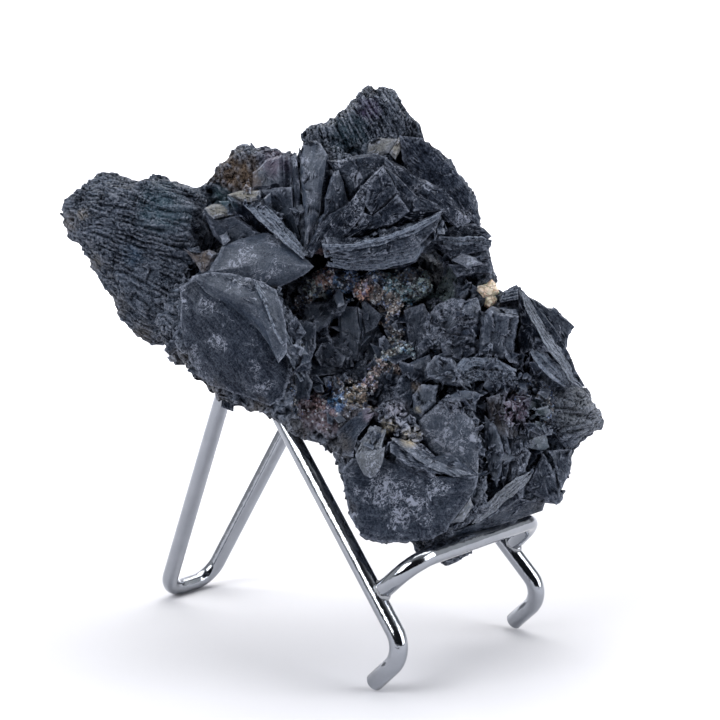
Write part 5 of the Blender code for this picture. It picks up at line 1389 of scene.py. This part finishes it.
def make_welds():
    """The two rippled fillets of weld metal between the ledge and the uprights."""
    dice = np.random.default_rng(5)
    length, depth, width = WELD_HALVES
    joint = TOP_CORNER.lerp(FOOT_CORNER, LEDGE_JOINT)
    along = (TOP_CORNER - FOOT_CORNER).normalized()
    out = (joint - LEDGE_CORNER).normalized()
    build = bmesh.new()
    for side in (1, -1):
        made = bmesh.ops.create_icosphere(build, subdivisions=4, radius=1.0)["verts"]
        for vert in made:
            ripple = 1 + 0.05 * math.sin(7 * vert.co.x + side) + dice.uniform(-0.012, 0.012)
            spot = (along * vert.co.x * length + out * vert.co.y * depth
                    + along.cross(out) * vert.co.z * width) * ripple
            spot += joint - out * WIRE_RADIUS
            vert.co = Vector(SHIFT) + MM * Vector((spot.x * side, spot.y, spot.z))
    mesh = outward_mesh("weld_beads", build=build)
    mesh.shade_smooth()
    return link("weld_beads", mesh)


# ---------------------------------------------------------------- the stage

# The sweep in metres: how far it comes forward and goes back, its height, width and bend.
SWEEP_FRONT, SWEEP_BACK, SWEEP_HEIGHT, SWEEP_WIDTH, SWEEP_BEND = 0.55, 1.5, 3.0, 7.0, 0.6


def board_finish(colour):
    """Matt white sweep: painted board with a hint of paper grain."""
    finish, surface, add = new_finish("matt_white_board")
    grain = noise(add, add("ShaderNodeTexCoord", output="Object"), 60.0, 2.0)
    add(surface, Base_Color=(*colour, 1.0), Roughness=0.9,
        Normal=add(BUMP, Height=grain, Distance=0.05 * MM, Strength=0.2))
    return finish


def make_sweep(settings):
    """A seamless white sweep: floor, curve and wall, square to the line of sight."""
    away = Vector((-TOWARD[0], -TOWARD[1], 0)).normalized()
    side = Vector(RIGHT)
    profile = [(-SWEEP_FRONT, 0.0)]
    profile += [(SWEEP_BACK + SWEEP_BEND * (math.sin(a) - 1), SWEEP_BEND * (1 - math.cos(a)))
                for a in np.linspace(0, math.pi / 2, 16)]
    profile.append((SWEEP_BACK, SWEEP_HEIGHT))
    places = [away * run + side * width + Vector((0, 0, rise)) for run, rise in profile
              for width in (-SWEEP_WIDTH / 2, SWEEP_WIDTH / 2)]
    mesh = outward_mesh("sweep", places, [(i, i + 1, i + 3, i + 2) for i in range(0, len(places) - 2, 2)])
    mesh.shade_smooth()
    sweep = link("sweep", mesh)
    mesh.materials.append(board_finish(settings.board_colour))


def add_softbox(name, place, target, size, power, colour):
    """An area light at a place (right, up, near in metres) aimed at the cluster."""
    light = bpy.data.lights.new(name, "AREA")
    light.shape = "RECTANGLE"
    light.size, light.size_y = size
    light.energy = power
    light.color = colour
    lamp = bpy.data.objects.new(name, light)
    bpy.context.scene.collection.objects.link(lamp)
    centre = Vector(SHEET_CENTRE * MM + SHIFT)
    spot = centre + Vector(RIGHT * place[0] + UP * place[1] + TOWARD * place[2])
    lamp.location = spot
    lamp.rotation_euler = (centre + Vector(target) - spot).to_track_quat("-Z", "Y").to_euler()


def make_world(strength):
    """A pale room, dark towards the eye."""
    world = bpy.data.worlds.new("studio_room")
    world.use_nodes = True
    tree = world.node_tree
    add = functools.partial(add_node, tree)
    facing = add(VECTOR, "DOT_PRODUCT", add("ShaderNodeTexCoord", output="Generated"), tuple(TOWARD),
                 output="Value")
    shade = add(MIX, COLOURS, add(RANGE, SMOOTH, facing, 0.1, 0.8), i6="#dfe2e6", i7="#26282c", output=2)
    add(tree.nodes["Background"], Color=shade, Strength=strength)
    bpy.context.scene.world = world


def make_camera():
    """The camera on the sheet's line of sight."""
    lens = bpy.data.cameras.new("eye")
    lens.sensor_width, lens.lens = SENSOR_WIDTH, FOCAL_LENGTH
    lens.clip_start, lens.clip_end = 0.01, 20.0
    camera = bpy.data.objects.new("eye", lens)
    bpy.context.scene.collection.objects.link(camera)
    turn = Matrix((RIGHT, UP, TOWARD)).transposed().to_4x4()
    camera.matrix_world = Matrix.Translation(Vector(EYE * MM + SHIFT)) @ turn
    bpy.context.scene.camera = camera


# ---------------------------------------------------------------- the add-on

class BerthieriteStone(bpy.types.PropertyGroup):
    """How the stone is meshed and grown over."""

    mesh_pitch: FloatProperty(name="Mesh pitch", description="Cell size of the rock's fine mesh",
                              default=0.74 * MM, unit="LENGTH")
    facet_size: FloatProperty(name="Facet size", description="Size of the rock's broken facets, in mm",
                              default=3.2)
    ridge_spacing: FloatProperty(name="Ridge spacing", description="Least gap between comb ridges",
                                 default=0.85 * MM, unit="LENGTH")
    ridge_length: FloatProperty(name="Ridge length", description="Length of a comb ridge, in mm",
                                default=1.9)
    chip_spacing: FloatProperty(name="Chip spacing", description="Least gap between broken plates",
                                default=1.8 * MM, unit="LENGTH")
    druse_spacing: FloatProperty(name="Druse spacing", description="Least gap between druse crystals",
                                 default=0.3 * MM, unit="LENGTH")


class BerthieriteEasel(bpy.types.PropertyGroup):
    """How the easel's wires are made."""

    bend_steps: IntProperty(name="Bend steps", description="Stations along each bend", default=20)


class BerthieriteStage(bpy.types.PropertyGroup):
    """The sweep and the lights."""

    board_colour: FloatVectorProperty(name="Board colour", description="Colour of the sweep",
                                      subtype="COLOR", default=linear("#cacace"))
    key_power: FloatProperty(name="Key light", description="Power of the overhead softbox",
                             default=9.2, unit="POWER")
    side_power: FloatProperty(name="Side light", description="Power of the side softbox",
                              default=9.5, unit="POWER")
    wash_power: FloatProperty(name="Backdrop light", description="Power of the light on the wall",
                              default=28.0, unit="POWER")
    room_strength: FloatProperty(name="Room", description="Strength of the room's light", default=0.8)


# How deep below what is seen the rock counts as covered by a blade, how far behind the blade it is
# kept, in mm, and the most it is lowered for that.
SEEN_DEPTH = 3 * MM
CLEARANCE = 0.4
DEEPEST_SINK = 5.0

# Where loose-looking plates lie on the rock: outline, count, sizes in mm, how proud, how steep.
LITTER = {
    "hollow": dict(outline=[(-10, 14), (-3, 11), (3, 9.5), (9, 9), (14, 10), (12, 2), (8, -4), (0, -3),
        (-7, -6), (-12, -4), (-12, 6)], count=90, sizes=(2.0, 5.4), rise=3.0, steep=0.7, dust=0.1),
    "hollow_low": dict(outline=[(-12, -3), (-6, -2), (2, -3), (8, -3), (14, -2), (14, -8), (6, -8),
        (-2, -12), (-12, -10)], count=20, sizes=(1.8, 3.8), rise=1.2, steep=0.6, dust=0.2),
    "lens_rim": dict(outline=[(-36, 12), (-33, 8), (-34, 2), (-30, -4), (-22, -8), (-13, -10), (-12, -14),
        (-24, -12), (-34, -4), (-40, 3)], count=34, sizes=(1.6, 3.6), rise=0.3, steep=0.5, dust=0.35),
    "between": dict(outline=[(-27, 27), (-18, 22), (-10, 18), (-8, 24), (-10, 38), (-20, 32)], count=80,
        sizes=(1.0, 3.4), rise=1.2, steep=0.8, dust=0.3),
    "right": dict(outline=[(13, 12), (20, 9), (26, 9), (33, 2), (34, -4), (34, -14), (34, -24), (20, -12),
        (12, -8), (10, 2)], count=300, sizes=(1.0, 3.6), rise=1.6, steep=0.8, dust=0.35),
    "low": dict(outline=[(0, -12), (12, -10), (22, -16), (34, -22), (30, -30), (20, -33), (6, -33),
        (0, -24)], count=110, sizes=(1.0, 3.2), rise=1.2, steep=0.8, dust=0.4),
    "spur": dict(outline=[(3, -7.2), (6.8, -7.8), (9.4, -10.4), (11.4, -14.6), (9.6, -15), (5.2, -12.8),
        (3.4, -10)], count=170, sizes=(0.7, 2.2), rise=2.8, steep=1.3, dust=1.2, over=True),
    "right_grit": dict(outline=[(12, 11), (21, 11), (22, 4), (27, 0), (33, -1), (35, -12), (26, -22),
        (21, -22), (21, -8), (13, -6)], count=240, sizes=(0.6, 1.8), rise=1.9, steep=1.1, dust=0.5,
        over=True),
    "shoulder": dict(outline=[(13, 24), (20, 26), (24, 18), (24, 12), (16, 14)], count=70, sizes=(1.0, 3.2),
        rise=1.2, steep=0.8, dust=0.4),
}


def add_litter(slabs, surface, outline, count, sizes, rise, steep, dust, seed, over=False):
    """Small angular plates set on the rock, and over the large blades too if wanted."""
    dice = np.random.default_rng(seed)
    corners = np.array(outline, dtype=float)
    low, high = corners.min(axis=0), corners.max(axis=0)
    made = 0
    while made < count:
        spot = dice.uniform(low, high)
        if not in_outline(spot[None], outline)[0]:
            continue
        made += 1
        near = sight(surface, spot)
        if near is None or (not over and on_blade(spot)):
            continue
        near += rise * dice.uniform(0.2, 1.0)
        length, width = dice.uniform(*sizes), dice.uniform(0.35, 0.75)
        turn, corner_count = dice.uniform(0, math.tau), int(dice.integers(3, 6))
        plate = []
        for i in range(corner_count):
            angle = math.tau * (i + dice.uniform(-0.3, 0.3)) / corner_count
            x, y = length / 2 * math.cos(angle), length * width / 2 * math.sin(angle)
            plate.append((spot[0] + x * math.cos(turn) - y * math.sin(turn),
                          spot[1] + x * math.sin(turn) + y * math.cos(turn)))
        add_blade(slabs, plate, near, tuple(dice.normal(0, steep, 2)), front=0.25, back=1.6, ragged=0.08,
                  dust=dust, shade=dice.uniform(-0.4, 0.3), relief=0.05, seed=seed + made)


def on_blade(spot):
    """Whether a sheet place lies on one of the large blades outside the hollow."""
    return any(in_outline(spot[None], blade["outline"], 0.95)[0]
               for name, group in BLADE_GROUPS.items() if name != "hollow"
               for blade in group["blades"].values())


def sink_under_blades(rock, surface):
    """Lower the rock behind the blades' faces, and keep grown ridges and chips off them."""
    mesh = rock.data
    places = mesh_places(mesh)
    sheet = to_sheet(places)
    limit = np.full(len(sheet), np.inf)
    for group in BLADE_GROUPS.values():
        for blade in group["blades"].values():
            near, lean = seat_of(surface, blade["outline"], blade.get("near"), blade.get("rise", 0),
                                 blade.get("lean", (0, 0)))
            inside = in_outline(sheet, blade["outline"], 0.97)
            gap = sheet[:, :2] - np.mean(blade["outline"], axis=0)
            limit[inside] = np.minimum(limit, near + gap @ np.array(lean))[inside]
    covered = np.isfinite(limit)
    eye = Vector(EYE * MM + SHIFT)
    for index in np.flatnonzero(covered):
        ray = Vector(places[index]) - eye
        hit, place, _, _ = rock.ray_cast(eye, ray.normalized())
        covered[index] = hit and (place - eye).length > ray.length - SEEN_DEPTH
    excess = np.where(covered, sheet[:, 2] - limit + CLEARANCE, 0)
    excess = np.where(excess < DEEPEST_SINK, np.clip(excess, 0, None), 0)
    push(mesh, places, -TOWARD, excess)
    for name in ("chip_cover", "comb_cover"):
        cover = np.empty(len(sheet))
        mesh.attributes[name].data.foreach_get("value", cover)
        cover[covered] = 0
        mesh.attributes[name].data.foreach_set("value", cover)


BLADE_GROUPS = {
    "front": dict(blades=FRONT_BLADES, seed=100, dust=0.35, shade=-0.15),
    "fan": dict(blades=FAN_BLADES, seed=1100, dust=0.22, shade=-0.15),
    # The crest's low shade is painted shade that darkens the top of the cluster against the light from
    # above.
    "crest": dict(blades=CREST_BLADES, seed=2100, dust=0.3, shade=-0.5),
    "right": dict(blades=RIGHT_BLADES, seed=3100, dust=0.3, shade=0.1, ragged=0.32, broken=0.65,
                  relief=0.14),
    "bottom": dict(blades=BOTTOM_BLADES, seed=4100, dust=0.45, shade=-0.3),
    "hollow": dict(blades=HOLLOW_BLADES, seed=5100, dust=0.1, shade=-0.15)}


def druse_kinds(name, dice):
    """Five stubby crystals to grow."""
    return crystal_kinds(name, [
        druse_form(dice.uniform(0.17, 0.3), dice.uniform(0.15, 0.42), 4 + n % 3, dice) for n in range(5)])


# Height, width and waviness of a small comb ridge, in mm.
RIDGE_SIZE = (0.14, 0.4, 0.12)
# Faces of a slab that meet at more than this angle, in degrees, keep a sharp edge.
BLADE_EDGE = 26


class BERTHIERITE_OT_rock(bpy.types.Operator):
    """Build the matrix rock, its comb ridges and its broken chips"""
    bl_idname = "berthierite.rock"
    bl_label = "Matrix rock"

    def execute(self, context):
        """Mesh the rock, then grow ridges and chips on it."""
        stone = context.scene.berthierite_stone
        cleaved, broken, combed, filmed = stone_materials()
        dice = np.random.default_rng(21)
        rock = make_rock(stone)
        surface = solid_surface()
        sink_under_blades(rock, surface)
        ridges = crystal_kinds("ridge_kinds", [
            ridge_form(stone.ridge_length * dice.uniform(0.5, 1.3), *RIDGE_SIZE, dice)
            for _ in range(9)])
        combs = grow("comb_ridges", rock, ridges, combed, Cover="comb_cover", Density=6e6,
                     Spacing=stone.ridge_spacing, Smallest=0.55, Largest=1.1, Tilt=0.05, Depth=0.0, Seed=3)
        plates = crystal_kinds("plate_kinds", [
            plate_form(dice.uniform(1.6, 3.4), dice.uniform(1.0, 2.0), dice.uniform(0.4, 0.7), dice)
            for _ in range(8)])
        chips = grow("broken_chips", rock, plates, broken, Cover="chip_cover", Density=1e6,
                     Spacing=stone.chip_spacing, Smallest=0.45, Largest=1.0, Tilt=0.4, Depth=-0.1 * MM,
                     Seed=8)
        halo = grow("wall_druse", rock, druse_kinds("wall_kinds", dice), filmed, Cover="druse_cover",
                    Density=9e6, Spacing=0.4 * MM, Smallest=0.5, Largest=1.2, Tilt=0.8,
                    Depth=-0.05 * MM, Seed=12)
        litter = Slabs()
        for number, values in enumerate(LITTER.values()):
            add_litter(litter, surface, seed=900 + 50 * number, **values)
        pieces = litter.to_object("broken_plates", BLADE_EDGE)
        for piece, finish in ((halo, filmed), (pieces, cleaved), (rock, broken), (combs, combed),
                              (chips, broken)):
            dress(piece, finish, "specimen")
        return {"FINISHED"}


class BERTHIERITE_OT_blades(bpy.types.Operator):
    """Build the six groups of large crystal blades"""
    bl_idname = "berthierite.blades"
    bl_label = "Crystal blades"

    def execute(self, context):
        """Add each group as one piece."""
        cleaved, _, combed, _ = stone_materials()
        surface = solid_surface()
        edges = Slabs()
        for name, group in BLADE_GROUPS.items():
            slabs = Slabs()
            add_blades(slabs, surface, **group)
            for number, layers in enumerate(LAYERED.get(name, {}).values()):
                add_layers(edges, seed=group["seed"] + 700 + 20 * number, **layers)
            dress(slabs.to_object(f"{name}_blades", BLADE_EDGE), cleaved, "specimen")
        dress(edges.to_object("layered_edges", BLADE_EDGE), combed, "specimen")
        return {"FINISHED"}


class BERTHIERITE_OT_druse(bpy.types.Operator):
    """Build the hollow's crust of tiny tarnished crystals"""
    bl_idname = "berthierite.druse"
    bl_label = "Tarnished druse"

    def execute(self, context):
        """Mesh the crust, then grow its crystals."""
        stone = context.scene.berthierite_stone
        finish = stone_materials()[-1]
        bed = make_druse_bed()
        kinds = druse_kinds("druse_kinds", np.random.default_rng(33))
        crystals = grow("druse_crystals", bed, kinds, finish, Cover="druse_cover", Density=14e6,
                        Spacing=stone.druse_spacing, Smallest=0.6, Largest=1.3, Tilt=0.8,
                        Depth=-0.1 * MM, Seed=4)
        dress(bed, finish, "druse_crust")
        dress(crystals, finish, "druse_crust")
        return {"FINISHED"}


class BERTHIERITE_OT_cream(bpy.types.Operator):
    """Build the cream crystal pair"""
    bl_idname = "berthierite.cream"
    bl_label = "Cream crystals"

    def execute(self, context):
        """Add the pair as one piece."""
        dress(make_cream(), cream_finish(), "pale_crystal")
        return {"FINISHED"}


class BERTHIERITE_OT_easel(bpy.types.Operator):
    """Build the chromed wire easel and its welds"""
    bl_idname = "berthierite.easel"
    bl_label = "Wire easel"

    def execute(self, context):
        """Bend both wires and lay the weld beads."""
        steps = context.scene.berthierite_easel.bend_steps
        chrome = chrome_finish("chromed_drawn_wire", "#90949b", "#a7aab0", 0.1)
        weld = chrome_finish("chromed_weld_bead", "#909398", "#a6a8ab", 0.2)
        dress(wire_object("easel_wire", frame_path(steps)), chrome, "stand_frame")
        dress(wire_object("ledge_wire", ledge_path(steps)), chrome, "stand_ledge")
        dress(make_welds(), weld, "stand_ledge")
        return {"FINISHED"}


# The share of the side light's power that the right-hand softbox has.
FAR_SIDE = 0.85


class BERTHIERITE_OT_stage(bpy.types.Operator):
    """Build the sweep, the lights, the room and the camera"""
    bl_idname = "berthierite.stage"
    bl_label = "Stage"

    def execute(self, context):
        """Set the stage round the model."""
        stage = context.scene.berthierite_stage
        make_sweep(stage)
        add_softbox("overhead", (0.05, 0.8, -0.22), (0, 0, 0), (1.0, 0.8), stage.key_power,
                    (1.0, 0.99, 0.97))
        add_softbox("right_side", (0.8, 0.35, 0.35), (0, 0, 0), (0.6, 0.8), FAR_SIDE * stage.side_power,
                    (0.97, 0.98, 1.0))
        add_softbox("left_front", (-0.6, 0.5, 0.6), (0, 0, 0), (0.6, 0.7), stage.side_power,
                    (0.97, 0.98, 1.0))
        add_softbox("backdrop_wash", (0, 0.7, -0.5), Vector(TOWARD) * -1.6, (1.6, 0.4),
                    stage.wash_power, (1, 1, 1))
        make_world(stage.room_strength)
        make_camera()
        context.scene.view_settings.view_transform = "Standard"
        return {"FINISHED"}


SETTINGS = {"berthierite_stone": BerthieriteStone, "berthierite_easel": BerthieriteEasel,
            "berthierite_stage": BerthieriteStage}
STEPS = (BERTHIERITE_OT_rock, BERTHIERITE_OT_blades, BERTHIERITE_OT_druse, BERTHIERITE_OT_cream,
         BERTHIERITE_OT_easel, BERTHIERITE_OT_stage)


class BERTHIERITE_PT_panel(bpy.types.Panel):
    """Lists the building steps in the 3D sidebar"""
    bl_label = "Berthierite"
    bl_idname = "BERTHIERITE_PT_panel"
    bl_space_type = "VIEW_3D"
    bl_region_type = "UI"
    bl_category = "Berthierite"

    def draw(self, context):
        """Show each step's button and the settings."""
        for step in STEPS:
            self.layout.operator(step.bl_idname)
        for group in SETTINGS:
            settings = getattr(context.scene, group)
            for name in settings.__annotations__:
                self.layout.prop(settings, name)


CLASSES = (*SETTINGS.values(), *STEPS, BERTHIERITE_PT_panel)


def register():
    """Register the settings, the steps and the panel."""
    for made in CLASSES:
        bpy.utils.register_class(made)
    for name, group in SETTINGS.items():
        setattr(bpy.types.Scene, name, PointerProperty(type=group))


def unregister():
    """Take everything that register added away again."""
    for name in SETTINGS:
        delattr(bpy.types.Scene, name)
    for made in reversed(CLASSES):
        bpy.utils.unregister_class(made)


def main():
    """Register the steps and build every piece in order."""
    register()
    for step in STEPS:
        group, name = step.bl_idname.split(".")
        getattr(getattr(bpy.ops, group), name)()


if __name__ == "__main__":
    main()
